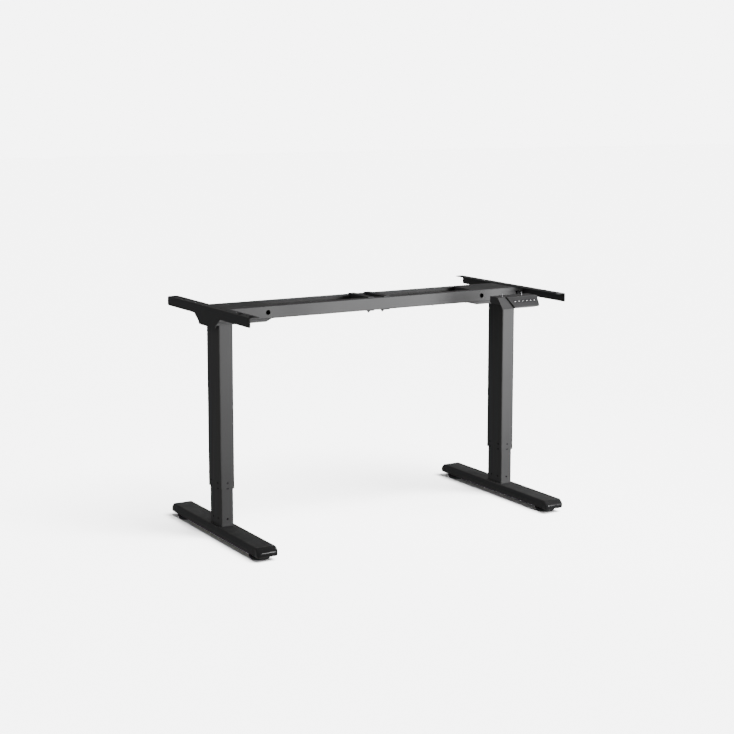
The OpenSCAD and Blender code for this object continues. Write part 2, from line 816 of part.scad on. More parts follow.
module control_box() {
    mid_z = box_z0 + box_h / 2;
    color("#1a1b1d") difference() {
        union() {
            translate([box_x0, -box_half, box_z0])
                cube([box_len, 2 * box_half, box_h - lid_t]);
            for (s = [-1, 1], x = [box_x0 + 12, box_x1 - 32])
                translate([x, min(s * box_half, s * (box_half + ear_w)), rail_bot + rail_wall])
                    cube([20, ear_w, ear_t]);
        }
        translate([box_x0 + box_wall, -box_half + box_wall, box_z0 + box_wall])
            cube([box_len - 2 * box_wall, 2 * (box_half - box_wall), box_h]);
        for (s = socket_spots) translate([box_x0 - 1, s[0] - s[1] / 2, mid_z - s[2] / 2])
            cube([box_wall + 2, s[1], s[2]]);
        for (s = [-1, 1], x = [box_x0 + 22, box_x1 - 22])
            translate([x, s * (box_half + ear_w - 6), 0])
                bore(4.5, rail_bot + rail_wall, rail_bot + rail_wall + ear_t);
    }
}

module control_lid() {
    color("#1a1b1d") difference() {
        translate([box_x0, -box_half, box_z1 - lid_t]) cube([box_len, 2 * box_half, lid_t]);
        for (i = [0:9]) translate([box_x0 + 45 + i * 7, -20, box_z1 - lid_t - 1])
            cube([3, 40, lid_t + 2]);
    }
}

module control_sockets() {
    mid_z = box_z0 + box_h / 2;
    rim = 1.2;
    color("#303236") for (s = socket_spots) difference() {
        translate([box_x0, s[0] - s[1] / 2, mid_z - s[2] / 2])
            cube([socket_deep, s[1], s[2]]);
        translate([box_x0 - 1, s[0] - s[1] / 2 + rim, mid_z - s[2] / 2 + rim])
            cube([socket_deep - 2, s[1] - 2 * rim, s[2] - 2 * rim]);
    }
}

// ---------------------------------------------------------------- handset

// Moves a child to a point on the line of buttons, +z out of the panel
module on_panel(x) {
    translate([x, hand_y_top - panel_mid * panel_run, frame_h - panel_mid * panel_drop])
        rotate([panel_tilt, 0, 0]) children();
}

// Side outlines in the YZ plane of the plain block and of the part behind the panel
module block_profile() {
    y_top = hand_y_top + block_set;
    y_low = y_top - block_lean;
    polygon([
        [hand_y1, frame_h], [y_top, frame_h], [y_low, hand_bot + 2], [y_low + 1.5, hand_bot],
        [y_low + lip_d - lip_lean / 2, hand_bot], [y_low + lip_d + lip_lean / 2, hand_floor],
        [hand_y1, hand_floor],
    ]);
}

module panel_profile() {
    y_low = hand_y_top - panel_run;
    polygon([
        [hand_y1, frame_h], [hand_y_top, frame_h], [y_low, frame_h - panel_drop],
        [y_low, hand_bot + 3.5], [y_low + 2, hand_bot + 2], [y_low + lip_d, hand_bot + 2],
        [y_low + lip_d + lip_lean, hand_floor], [hand_y1, hand_floor],
    ]);
}

// Front outline in the XZ plane of the part behind the panel, with its slanting sides
module panel_front(in) {
    x0 = hand_x + hand_block_w + in;
    x1 = hand_x + hand_w - in;
    low = x1 - panel_taper;
    polygon([
        [x0, frame_h + 1], [x1, frame_h + 1], [low, hand_bot + in + panel_corner],
        [low - panel_corner * 0.3, hand_bot + in + panel_corner * 0.3],
        [low - panel_corner, hand_bot + in], [x0 + panel_slant, hand_bot + in],
    ]);
}

// Space inside the handset, open at the bottom, with a boss round each screw
module handset_cavity() {
    side = 2 * hand_wall;
    difference() {
        along_x(hand_x + side, hand_x + hand_w - panel_taper - side) polygon([
            [hand_y1 - side, frame_h - hand_wall], [hand_y_top + 13, frame_h - hand_wall],
            [hand_y_top - 2, hand_floor - 1], [hand_y1 - side, hand_floor - 1],
        ]);
        for (x = hand_screw_x) translate([x, hand_screw_y, 0])
            bore(hand_boss_d, hand_floor + cover_t, frame_h);
    }
}

// Plate that closes the handset from below
module cover_plate(play) {
    side = hand_wall + play;
    translate([hand_x + side, hand_y_top + play, hand_floor])
        cube([hand_w - panel_taper - 2 * side, hand_top_d - side - play, cover_t]);
}

module handset_body() {
    color("#55575b") difference() {
        union() {
            along_x(hand_x, hand_x + hand_w - panel_taper - panel_corner) block_profile();
            intersection() {
                along_x(hand_x + hand_block_w, hand_x + hand_w) panel_profile();
                along_y(hand_y_top - panel_run, hand_y1) panel_front(0);
            }
        }
        handset_cavity();
        for (drop = [0, e]) translate([0, 0, -drop]) cover_plate(0);
        intersection() {
            on_panel(hand_x) translate([0, -panel_len, -panel_in])
                cube([hand_w, 2 * panel_len, 5]);
            along_y(-hand_front - 5, hand_y_top + 3) panel_front(2);
            translate([hand_x, -hand_front - 5, frame_h - panel_drop + 2])
                cube([hand_w, hand_d, panel_drop - 4]);
        }
        for (x = button_x) on_panel(x) translate([0, 0, -button_stem - 1.2])
            cylinder(d = button_d + 2 * button_gap, h = button_stem + 12);
        for (x = hand_screw_x) translate([x, hand_screw_y, 0]) {
            bore(hand_screw_d + bolt_play, hand_floor - 5, frame_h);
            bore(hand_screw_head_d + 1, hand_floor - 5, frame_h - hand_screw_deep);
        }
    }
}

module handset_cover() {
    color("#3c3e42") difference() {
        cover_plate(cover_play);
        for (x = hand_screw_x) translate([x, hand_screw_y, 0])
            bore(hand_screw_head_d + 1, hand_floor, hand_floor + cover_t);
    }
}

module handset_panel() {
    color("#3c3e42") difference() {
        intersection() {
            on_panel(hand_x) translate([0, -panel_len, -panel_in])
                cube([hand_w, 2 * panel_len, panel_in + 0.2]);
            along_y(-hand_front - 5, hand_y_top + 3) panel_front(2.2);
            translate([hand_x, -hand_front - 5, frame_h - panel_drop + 2.2])
                cube([hand_w, hand_d, panel_drop - 4.4]);
        }
        for (x = button_x) on_panel(x) translate([0, 0, -5])
            cylinder(d = button_d + 2 * button_gap, h = 10);
    }
}

module handset_screws() {
    z_head = frame_h - hand_screw_deep;
    point = 3;
    color("#d0d2d4") for (x = hand_screw_x) translate([x, hand_screw_y, 0]) {
        translate([0, 0, z_head - hand_screw_head_h])
            cylinder(d = hand_screw_head_d, h = hand_screw_head_h);
        translate([0, 0, z_head - e])
            cylinder(d = hand_screw_d, h = hand_screw_deep + hand_screw_out - point + e);
        translate([0, 0, frame_h + hand_screw_out - point - e])
            cylinder(d1 = hand_screw_d, d2 = 0.6, h = point);
    }
}

module button(i) {
    color("#e8e8e6") on_panel(button_x[i]) {
        translate([0, 0, -button_stem]) cylinder(d = button_d, h = button_stem + button_out - 0.4);
        translate([0, 0, button_out - 0.4 - e])
            cylinder(d1 = button_d, d2 = button_d - 0.8, h = 0.4);
    }
}

// ---------------------------------------------------------------- named pieces

module foot_left() at_left() foot();
module foot_right() at_right() foot();
module foot_caps_left() at_left() foot_caps();
module foot_caps_right() at_right() foot_caps();
module inner_tube_left() at_left() inner_tube();
module inner_tube_right() at_right() inner_tube();
module tube_insert_left() at_left() tube_insert();
module tube_insert_right() at_right() tube_insert();
module foot_bolts_left() at_left() foot_bolts();
module foot_bolts_right() at_right() foot_bolts();
module nut_plate_left() at_left() nut_plate();
module nut_plate_right() at_right() nut_plate();
module spindle_nut_left() at_left() spindle_nut();
module spindle_nut_right() at_right() spindle_nut();
module upper_glide_left() at_left() upper_glide();
module upper_glide_right() at_right() upper_glide();
module level_foot_front_left() at_left() translate([0, -level_y, 0]) level_foot();
module level_foot_rear_left() at_left() translate([0, level_y, 0]) level_foot();
module level_foot_front_right() at_right() translate([0, -level_y, 0]) level_foot();
module level_foot_rear_right() at_right() translate([0, level_y, 0]) level_foot();
module outer_tube_left() at_left() outer_tube();
module outer_tube_right() at_right() outer_tube();
module lower_glide_left() at_left() lower_glide();
module lower_glide_right() at_right() lower_glide();
module head_box_left() at_left() head_box(lip_edge_inner);
module head_box_right() at_right() head_box(lip_edge_outer);
module head_tray_left() at_left() head_tray(lip_edge_inner);
module head_tray_right() at_right() head_tray(lip_edge_outer);
module gearbox_left() at_left() gearbox();
module gearbox_right() at_right() gearbox();
module motor_left() at_left() motor();
module motor_right() at_right() motor();
module spindle_left() at_left() spindle();
module spindle_right() at_right() spindle();
module bracket_left() at_left() bracket();
module bracket_right() at_right() bracket();
module bracket_pads_left() at_left() bracket_pads();
module bracket_pads_right() at_right() bracket_pads();
module outer_rail_front() mirror([0, 1, 0]) outer_rail();
module outer_rail_rear() outer_rail();
module inner_rail_front() mirror([0, 1, 0]) inner_rail();
module inner_rail_rear() inner_rail();
module button_1() button(0);
module button_2() button(1);
module button_3() button(2);
module button_4() button(3);
module button_5() button(4);
module button_6() button(5);

foot_left();
foot_right();
foot_caps_left();
foot_caps_right();
inner_tube_left();
inner_tube_right();
tube_insert_left();
tube_insert_right();
foot_bolts_left();
foot_bolts_right();
nut_plate_left();
nut_plate_right();
spindle_nut_left();
spindle_nut_right();
upper_glide_left();
upper_glide_right();
level_foot_front_left();
level_foot_rear_left();
level_foot_front_right();
level_foot_rear_right();
outer_tube_left();
outer_tube_right();
lower_glide_left();
lower_glide_right();
head_box_left();
head_box_right();
head_tray_left();
head_tray_right();
gearbox_left();
gearbox_right();
motor_left();
motor_right();
spindle_left();
spindle_right();
bracket_left();
bracket_right();
bracket_pads_left();
bracket_pads_right();
outer_rail_front();
outer_rail_rear();
inner_rail_front();
inner_rail_rear();
tie_plates();
clamp_bars();
clamp_plates();
clamp_bolts();
head_bolts_right();
control_box();
control_lid();
control_sockets();
handset_body();
handset_cover();
handset_panel();
handset_screws();
button_1();
button_2();
button_3();
button_4();
button_5();
button_6();
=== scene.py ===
import json
import math

import bmesh
import bpy
from mathutils import Matrix, Vector

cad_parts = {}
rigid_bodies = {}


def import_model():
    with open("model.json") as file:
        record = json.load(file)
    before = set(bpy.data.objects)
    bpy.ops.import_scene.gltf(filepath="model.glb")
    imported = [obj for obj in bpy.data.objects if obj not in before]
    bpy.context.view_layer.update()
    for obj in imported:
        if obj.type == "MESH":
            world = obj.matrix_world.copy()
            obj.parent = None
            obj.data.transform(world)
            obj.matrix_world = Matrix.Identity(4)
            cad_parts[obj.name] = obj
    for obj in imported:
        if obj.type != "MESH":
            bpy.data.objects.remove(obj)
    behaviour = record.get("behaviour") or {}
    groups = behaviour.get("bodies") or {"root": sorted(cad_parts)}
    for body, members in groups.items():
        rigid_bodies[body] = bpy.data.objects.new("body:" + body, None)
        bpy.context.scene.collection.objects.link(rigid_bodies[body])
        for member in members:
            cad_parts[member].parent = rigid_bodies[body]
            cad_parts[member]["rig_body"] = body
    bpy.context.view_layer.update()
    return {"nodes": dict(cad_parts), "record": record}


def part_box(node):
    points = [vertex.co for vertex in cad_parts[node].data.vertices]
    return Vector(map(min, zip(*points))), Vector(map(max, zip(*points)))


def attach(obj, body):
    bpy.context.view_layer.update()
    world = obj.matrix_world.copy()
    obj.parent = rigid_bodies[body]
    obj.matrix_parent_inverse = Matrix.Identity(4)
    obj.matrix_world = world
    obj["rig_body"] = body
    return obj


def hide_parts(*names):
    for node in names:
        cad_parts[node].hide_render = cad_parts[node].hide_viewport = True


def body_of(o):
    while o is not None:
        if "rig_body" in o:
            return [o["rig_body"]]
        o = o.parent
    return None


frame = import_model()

cad_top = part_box("bracket_left")[1][2]
scene = bpy.context.scene
NODES = frame["nodes"]
SIDES = ("left", "right")

# Every length is in metres.
SHARP_ANGLE = math.radians(38)    # edges bent further than this stay sharp in the shading
FLAT_ANGLE = math.radians(0.5)    # neighbours bent less than this are one face
MERGE_GAP = 2e-6
TINY_EDGE = 1e-7
EASE_ANGLE = 35                   # degrees; edges bent less than this are not rounded
EASE_ROOM = 2.3                   # shortest neighbour of a rounded edge, in widths
UPSIDE_DOWN = Matrix.Rotation(math.pi, 4, "X")


# ---------------------------------------------------------------- camera

def set_camera():
    """The whole desk from the front left, a little above the tops and looking slightly down."""
    down, yaw = 7.788, -30.766
    data = bpy.data.cameras.new("desk_camera")
    data.sensor_width = 36
    data.lens = 75.97
    data.shift_y = -0.08
    data.clip_end = 60
    camera = bpy.data.objects.new("desk_camera", data)
    camera.location = (-2.5935, -4.3501, 1.3885)
    camera.rotation_euler = (math.radians(90 - down), 0, math.radians(yaw))
    scene.collection.objects.link(camera)
    scene.camera = camera


# ---------------------------------------------------------------- node helpers

class Board:
    """Lays nodes into a tree and joins them."""

    def __init__(self, tree):
        self.tree = tree

    def put(self, kind, values=None, **settings):
        node = self.tree.nodes.new(kind)
        for key, value in settings.items():
            setattr(node, key, value)
        for key, value in (values or {}).items():
            node.inputs[key].default_value = value
        return node

    def join(self, source, target):
        self.tree.links.new(source, target)

    def calc(self, operation, a, b=None):
        node = self.put("ShaderNodeMath", operation=operation)
        for socket, value in zip(node.inputs, (a, b)):
            if value is None:
                continue
            if isinstance(value, (int, float)):
                socket.default_value = value
            else:
                self.join(value, socket)
        return node.outputs[0]

    def spread(self, value, low, high):
        """Stretches a varying value so that low becomes 0 and high becomes 1."""
        node = self.put("ShaderNodeMapRange", {"From Min": low, "From Max": high})
        self.join(value, node.inputs["Value"])
        return node.outputs["Result"]


def new_group(name, inputs, outputs):
    tree = bpy.data.node_groups.new(name, "ShaderNodeTree")
    for label, value, low, high in inputs:
        socket = tree.interface.new_socket(label, in_out="INPUT", socket_type="NodeSocketFloat")
        socket.default_value = value
        socket.min_value = low
        socket.max_value = high
    for label in outputs:
        tree.interface.new_socket(label, in_out="OUTPUT", socket_type="NodeSocketFloat")
    board = Board(tree)
    return tree, board, board.put("NodeGroupInput"), board.put("NodeGroupOutput")


def make_powder_grain():
    """Orange-peel grain of baked powder, with broad cloudy changes of tone."""
    tree, board, given, result = new_group(
        "powder_grain",
        [("Grain Scale", 900, 10, 4000), ("Cloud Scale", 7, 0.5, 60), ("Streak", 0.3, 0, 1)],
        ["Height", "Cloud", "Speck"])
    place = board.put("ShaderNodeTexCoord").outputs["Object"]
    grain = board.put("ShaderNodeTexNoise", {"Detail": 3, "Roughness": 0.6})
    cloud = board.put("ShaderNodeTexNoise", {"Detail": 4, "Roughness": 0.55})
    speck = board.put("ShaderNodeTexVoronoi", feature="F1")
    for node, label in ((grain, "Grain Scale"), (cloud, "Cloud Scale"), (speck, "Grain Scale")):
        board.join(place, node.inputs["Vector"])
        board.join(given.outputs[label], node.inputs["Scale"])
    board.join(grain.outputs[0], result.inputs["Height"])
    wide = board.spread(cloud.outputs[0], 0.32, 0.68)
    drift = board.put("ShaderNodeTexNoise", {"Scale": 1.7, "Detail": 2})
    board.join(place, drift.inputs["Vector"])
    patch = board.spread(drift.outputs[0], 0.35, 0.65)
    streak = board.calc("MULTIPLY", given.outputs["Streak"], board.calc("SUBTRACT", patch, wide))
    board.join(board.calc("ADD", wide, streak), result.inputs["Cloud"])
    board.join(board.spread(speck.outputs["Distance"], 0.25, 0.0), result.inputs["Speck"])
    return tree


def make_edge_rub():
    """Where the finish is thin or rubbed along the worked edges of a piece."""
    tree, board, given, result = new_group(
        "edge_rub", [("Breakup Scale", 60, 1, 800), ("Strength", 0.5, 0, 1)], ["Rub"])
    mark = board.put("ShaderNodeAttribute", attribute_name="edge")
    place = board.put("ShaderNodeTexCoord").outputs["Object"]
    noise = board.put("ShaderNodeTexNoise", {"Detail": 4, "Roughness": 0.65})
    board.join(place, noise.inputs["Vector"])
    board.join(given.outputs["Breakup Scale"], noise.inputs["Scale"])
    broken = board.spread(noise.outputs[0], 0.38, 0.66)
    rub = board.calc("MULTIPLY", mark.outputs["Fac"], broken)
    board.join(board.calc("MULTIPLY", rub, given.outputs["Strength"]), result.inputs["Rub"])
    return tree


def make_mould_texture():
    """Spark-eroded texture of a moulded plastic face."""
    tree, board, given, result = new_group(
        "mould_texture", [("Texture Scale", 1100, 20, 5000), ("Cloud Scale", 16, 1, 100)],
        ["Height", "Cloud"])
    place = board.put("ShaderNodeTexCoord").outputs["Object"]
    cell = board.put("ShaderNodeTexVoronoi", feature="SMOOTH_F1")
    fine = board.put("ShaderNodeTexNoise", {"Detail": 2})
    cloud = board.put("ShaderNodeTexNoise", {"Detail": 3})
    for node, label in ((cell, "Texture Scale"), (fine, "Texture Scale"), (cloud, "Cloud Scale")):
        board.join(place, node.inputs["Vector"])
        board.join(given.outputs[label], node.inputs["Scale"])
    both = board.calc("ADD", cell.outputs["Distance"], fine.outputs[0])
    board.join(both, result.inputs["Height"])
    board.join(board.spread(cloud.outputs[0], 0.3, 0.7), result.inputs["Cloud"])
    return tree


def make_metal_grain():
    """Drawn or turned grain, stretched along one direction of a bare metal piece."""
    tree, board, given, result = new_group(
        "metal_grain",
        [("Across", 1500, 10, 6000), ("Along", 40, 1, 6000), ("Stain Scale", 35, 1, 300)],
        ["Height", "Stain"])
    place = board.put("ShaderNodeTexCoord").outputs["Object"]
    size = board.put("ShaderNodeCombineXYZ")
    board.join(given.outputs["Across"], size.inputs["X"])
    board.join(given.outputs["Across"], size.inputs["Y"])
    board.join(given.outputs["Along"], size.inputs["Z"])
    stretched = board.put("ShaderNodeVectorMath", operation="MULTIPLY")
    board.join(place, stretched.inputs[0])
    board.join(size.outputs[0], stretched.inputs[1])
    grain = board.put("ShaderNodeTexNoise", {"Scale": 1, "Detail": 3})
    board.join(stretched.outputs[0], grain.inputs["Vector"])
    stain = board.put("ShaderNodeTexNoise", {"Detail": 5, "Roughness": 0.6})
    board.join(place, stain.inputs["Vector"])
    board.join(given.outputs["Stain Scale"], stain.inputs["Scale"])
    board.join(grain.outputs[0], result.inputs["Height"])
    board.join(board.spread(stain.outputs[0], 0.35, 0.65), result.inputs["Stain"])
    return tree


def make_settled_dust():
    """A faint film of dust on the faces that look up."""
    tree, board, given, result = new_group(
        "settled_dust", [("Patch Scale", 22, 1, 400), ("Amount", 0.2, 0, 1)], ["Dust"])
    level = board.put("ShaderNodeSeparateXYZ")
    board.join(board.put("ShaderNodeNewGeometry").outputs["Normal"], level.inputs[0])
    upward = board.spread(level.outputs["Z"], 0.6, 1.0)
    place = board.put("ShaderNodeTexCoord").outputs["Object"]
    patch = board.put("ShaderNodeTexNoise", {"Detail": 6, "Roughness": 0.7})
    board.join(place, patch.inputs["Vector"])
    board.join(given.outputs["Patch Scale"], patch.inputs["Scale"])
    thick = board.spread(patch.outputs[0], 0.42, 0.72)
    dust = board.calc("MULTIPLY", upward, thick)
    board.join(board.calc("MULTIPLY", dust, given.outputs["Amount"]), result.inputs["Dust"])
    return tree


POWDER_GRAIN = make_powder_grain()
EDGE_RUB = make_edge_rub()
MOULD_TEXTURE = make_mould_texture()
METAL_GRAIN = make_metal_grain()
SETTLED_DUST = make_settled_dust()


# ---------------------------------------------------------------- finishes

DUST = (0.3, 0.29, 0.27)          # colour of settled dust


def new_finish(name, roughness, metallic=0.0, coat=0.0):
    finish = bpy.data.materials.new(name)
    finish.use_nodes = True
    board = Board(finish.node_tree)
    shader = finish.node_tree.nodes["Principled BSDF"]
    shader.inputs["Roughness"].default_value = roughness
    shader.inputs["Metallic"].default_value = metallic
    shader.inputs["Coat Weight"].default_value = coat
    shader.inputs["Coat Roughness"].default_value = 0.12
    return finish, board, shader


def place_group(board, tree, **values):
    node = board.put("ShaderNodeGroup", node_tree=tree)
    for label, value in values.items():
        node.inputs[label.replace("_", " ")].default_value = value
    return node


def blend_colours(board, factor, first, second):
    node = board.put("ShaderNodeMix", data_type="RGBA")
    board.join(factor, node.inputs["Factor"])
    for socket, value in ((node.inputs[6], first), (node.inputs[7], second)):
        if isinstance(value, tuple):
            socket.default_value = (*value, 1)
        else:
            board.join(value, socket)
    return node.outputs[2]


def toned(tone, times, plus=0.0):
    """A colour made lighter or darker."""
    return tuple(value * times + plus for value in tone)


def set_roughness(board, shader, varying, low, high):
    node = board.put("ShaderNodeMapRange", {"To Min": low, "To Max": high})
    board.join(varying, node.inputs["Value"])
    board.join(node.outputs["Result"], shader.inputs["Roughness"])


def set_bump(board, shader, height, strength, distance):
    bump = board.put("ShaderNodeBump", {"Strength": strength, "Distance": distance})
    board.join(height, bump.inputs["Height"])
    board.join(bump.outputs["Normal"], shader.inputs["Normal"])


def powder_coat(name, tone, rub=0.45, rough=(0.46, 0.58), grain=900, dust=0.12):
    """Textured powder coat over steel: tone is the dark colour, rub the wear at its edges."""
    finish, board, shader = new_finish(name, rough[0])
    shader.inputs["Specular IOR Level"].default_value = 0.25
    grains = place_group(board, POWDER_GRAIN, Grain_Scale=grain)
    edges = place_group(board, EDGE_RUB, Strength=rub)
    film = place_group(board, SETTLED_DUST, Amount=dust)
    base = blend_colours(board, grains.outputs["Cloud"], tone, toned(tone, 1.22))
    flecks = board.calc("MULTIPLY", grains.outputs["Speck"], 0.16)
    flecked = blend_colours(board, flecks, base, toned(tone, 2.4))
    rubbed = blend_colours(board, edges.outputs["Rub"], flecked, toned(tone, 1.5, 0.03))
    dusty = blend_colours(board, film.outputs["Dust"], rubbed, DUST)
    board.join(dusty, shader.inputs["Base Color"])
    set_roughness(board, shader, grains.outputs["Cloud"], *rough)
    set_bump(board, shader, grains.outputs["Height"], 0.22, 0.0004)
    return finish


def moulded(name, tone, rough=(0.42, 0.55), texture=1100, depth=0.18, coat=0.0, dust=0.08):
    """Moulded plastic with a fine tool texture."""
    finish, board, shader = new_finish(name, rough[0], coat=coat)
    skin = place_group(board, MOULD_TEXTURE, Texture_Scale=texture)
    edges = place_group(board, EDGE_RUB, Strength=0.35, Breakup_Scale=120)
    film = place_group(board, SETTLED_DUST, Amount=dust)
    base = blend_colours(board, skin.outputs["Cloud"], tone, toned(tone, 1.18))
    rubbed = blend_colours(board, edges.outputs["Rub"], base, toned(tone, 1.4, 0.02))
    dusty = blend_colours(board, film.outputs["Dust"], rubbed, DUST)
    board.join(dusty, shader.inputs["Base Color"])
    set_roughness(board, shader, skin.outputs["Cloud"], *rough)
    set_bump(board, shader, skin.outputs["Height"], depth, 0.0003)
    return finish


def bare_metal(name, tone, rough=(0.28, 0.42), across=1500, along=40, stain=0.5):
    """Plated, cast or turned metal with its grain and faint stains."""
    finish, board, shader = new_finish(name, rough[0], metallic=1.0)
    grain = place_group(board, METAL_GRAIN, Across=across, Along=along)
    edges = place_group(board, EDGE_RUB, Strength=0.4)
    part = board.calc("MULTIPLY", grain.outputs["Stain"], stain)
    base = blend_colours(board, part, tone, toned(tone, 0.6))
    bright = blend_colours(board, edges.outputs["Rub"], base, toned(tone, 1.15, 0.05))
    board.join(bright, shader.inputs["Base Color"])
    set_roughness(board, shader, grain.outputs["Stain"], *rough)
    set_bump(board, shader, grain.outputs["Height"], 0.12, 0.0002)
    return finish


FINISH = {
    "foot_paint": powder_coat("foot_paint", (0.046, 0.046, 0.047)),
    "tube_paint": powder_coat("tube_paint", (0.06, 0.06, 0.061)),
    "head_paint": powder_coat("head_paint", (0.052, 0.052, 0.053)),
    "rail_paint": powder_coat("rail_paint", (0.06, 0.06, 0.061)),
    "bracket_paint": powder_coat("bracket_paint", (0.043, 0.043, 0.044)),
    "clamp_paint": powder_coat("clamp_paint", (0.036, 0.036, 0.037)),
    "cap_plastic": moulded("cap_plastic", (0.017, 0.017, 0.018), rough=(0.2, 0.3), depth=0.05,
                           coat=0.4),
    "pad_plastic": moulded("pad_plastic", (0.013, 0.013, 0.015)),
    "cast_alloy": bare_metal("cast_alloy", (0.5, 0.51, 0.53), rough=(0.45, 0.6), across=500,
                             along=500),
    "zinc_steel": bare_metal("zinc_steel", (0.6, 0.61, 0.63)),
    "nut_brass": bare_metal("nut_brass", (0.6, 0.45, 0.2)),
    "glide_nylon": moulded("glide_nylon", (0.7, 0.7, 0.67)),
    "mouth_nylon": moulded("mouth_nylon", (0.004, 0.004, 0.0045), rough=(0.6, 0.75), dust=0.02),
    "motor_steel": powder_coat("motor_steel", (0.06, 0.06, 0.065), rough=(0.3, 0.4)),
    "spindle_steel": bare_metal("spindle_steel", (0.55, 0.56, 0.58), along=1500),
    "pad_rubber": moulded("pad_rubber", (0.008, 0.008, 0.009), rough=(0.6, 0.75), depth=0.3),
    "black_steel": bare_metal("black_steel", (0.035, 0.035, 0.038), rough=(0.35, 0.5)),
    "box_plastic": moulded("box_plastic", (0.018, 0.018, 0.02)),
    "socket_plastic": moulded("socket_plastic", (0.03, 0.031, 0.035)),
    "handset_plastic": moulded("handset_plastic", (0.045, 0.045, 0.046), rough=(0.5, 0.6)),
    "panel_plastic": moulded("panel_plastic", (0.026, 0.026, 0.027), rough=(0.5, 0.6)),
    "button_plastic": moulded("button_plastic", (0.012, 0.012, 0.0135), rough=(0.5, 0.6)),
    "screw_steel": bare_metal("screw_steel", (0.2, 0.2, 0.21), rough=(0.4, 0.55)),
    # White print on the keys, which also glows: painted light on top of the print's own colour.
    "glowing_sign_print": moulded("glowing_sign_print", (0.72, 0.73, 0.74), rough=(0.4, 0.5), depth=0.02),
}

# The printed signs are made to glow white as painted light, as if lit from inside, though the
# handset holds no lamp.
sign_glow_shader = FINISH["glowing_sign_print"].node_tree.nodes["Principled BSDF"]
sign_glow_shader.inputs["Emission Strength"].default_value = 2.0
sign_glow_shader.inputs["Emission Color"].default_value = (1, 1, 1, 1)


# ---------------------------------------------------------------- shaping helpers

def add_mesh(name, bm, finish):
    for edge in bm.edges:
        if len(edge.link_faces) == 2 and edge.calc_face_angle(0) > SHARP_ANGLE:
            edge.smooth = False
    for face in bm.faces:
        face.smooth = True
    mesh = bpy.data.meshes.new(name)
    bm.to_mesh(mesh)
    bm.free()
    mesh.materials.append(FINISH[finish])
    piece = bpy.data.objects.new(name, mesh)
    scene.collection.objects.link(piece)
    return piece


def merged_copy(node):
    """A node's shape as whole faces, ready to be worked on."""
    bm = bmesh.new()
    bm.from_mesh(NODES[node].data)
    bmesh.ops.remove_doubles(bm, verts=bm.verts, dist=MERGE_GAP)
    bmesh.ops.dissolve_degenerate(bm, dist=TINY_EDGE, edges=bm.edges)
    bmesh.ops.dissolve_limit(bm, angle_limit=FLAT_ANGLE, verts=bm.verts, edges=bm.edges)
    return bm


def ease_edges(bm, width, least=EASE_ANGLE):
    """Rounds the outward edges that have room for it and marks the rounded faces."""
    mark = bm.faces.layers.float.new("edge")
    worked = []
    for edge in bm.edges:
        if len(edge.link_faces) != 2 or edge.calc_face_angle_signed(0) < math.radians(least):
            continue
        near = [other.calc_length() for vert in edge.verts for other in vert.link_edges]
        if min(near) > EASE_ROOM * width:
            worked.append(edge)
    if worked:
        made = bmesh.ops.bevel(bm, geom=worked, offset=width, segments=2, profile=0.5,
                               affect="EDGES", clamp_overlap=False)
        for face in made["faces"]:
            face[mark] = 1.0


def level_normals(piece):
    """Keeps flat faces evenly lit beside their rounded edges."""
    weigh = piece.modifiers.new("even faces", "WEIGHTED_NORMAL")
    weigh.keep_sharp = True
    weigh.weight = 100
    settle(piece)


def settle(piece):
    """Turns the result of the modifiers into the piece's plain mesh."""
    graph = bpy.context.evaluated_depsgraph_get()
    mesh = bpy.data.meshes.new_from_object(piece.evaluated_get(graph), depsgraph=graph)
    piece.modifiers.clear()
    old = piece.data
    piece.data = mesh
    mesh.name = piece.name
    bpy.data.meshes.remove(old)


def fit(piece, node, *more, slot=None):
    """Puts a finished piece in place of the node, on the same body."""
    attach(piece, body_of(NODES[node])[0])
    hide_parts(node, *more)
    return piece


def mount(piece, node):
    """Rides an added piece on the node's body and leaves the node in place."""
    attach(piece, body_of(NODES[node])[0])


def plan_centre(node):
    """The middle of a node's box, on the ground."""
    low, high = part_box(node)
    return Vector(((low[0] + high[0]) / 2, (low[1] + high[1]) / 2, 0))


def eased(node, width, finish, least=EASE_ANGLE):
    """The node's own shape with rounded edges, in place of the node."""
    bm = merged_copy(node)
    ease_edges(bm, width, least)
    piece = add_mesh(node + "_finished", bm, finish)
    level_normals(piece)
    return fit(piece, node, slot=finish)


def turned(bm, profile, steps=48):
    """Spins a profile of (radius, height) about the z axis; both its ends lie on the axis."""
    rings = []
    for radius, height in profile:
        if radius < 1e-9:
            rings.append([bm.verts.new((0, 0, height))])
            continue
        angles = [2 * math.pi * k / steps for k in range(steps)]
        rings.append([bm.verts.new((radius * math.cos(a), radius * math.sin(a), height))
                      for a in angles])
    for low, high in zip(rings, rings[1:]):
        for k in range(steps):
            after = (k + 1) % steps
            corners = [low[k % len(low)], low[after % len(low)],
                       high[after % len(high)], high[k % len(high)]]
            bm.faces.new(list(dict.fromkeys(corners)))
    return bm


def placed(bm, matrix):
    bmesh.ops.transform(bm, matrix=matrix, verts=bm.verts)
    return bm


# ---------------------------------------------------------------- repeated shapes

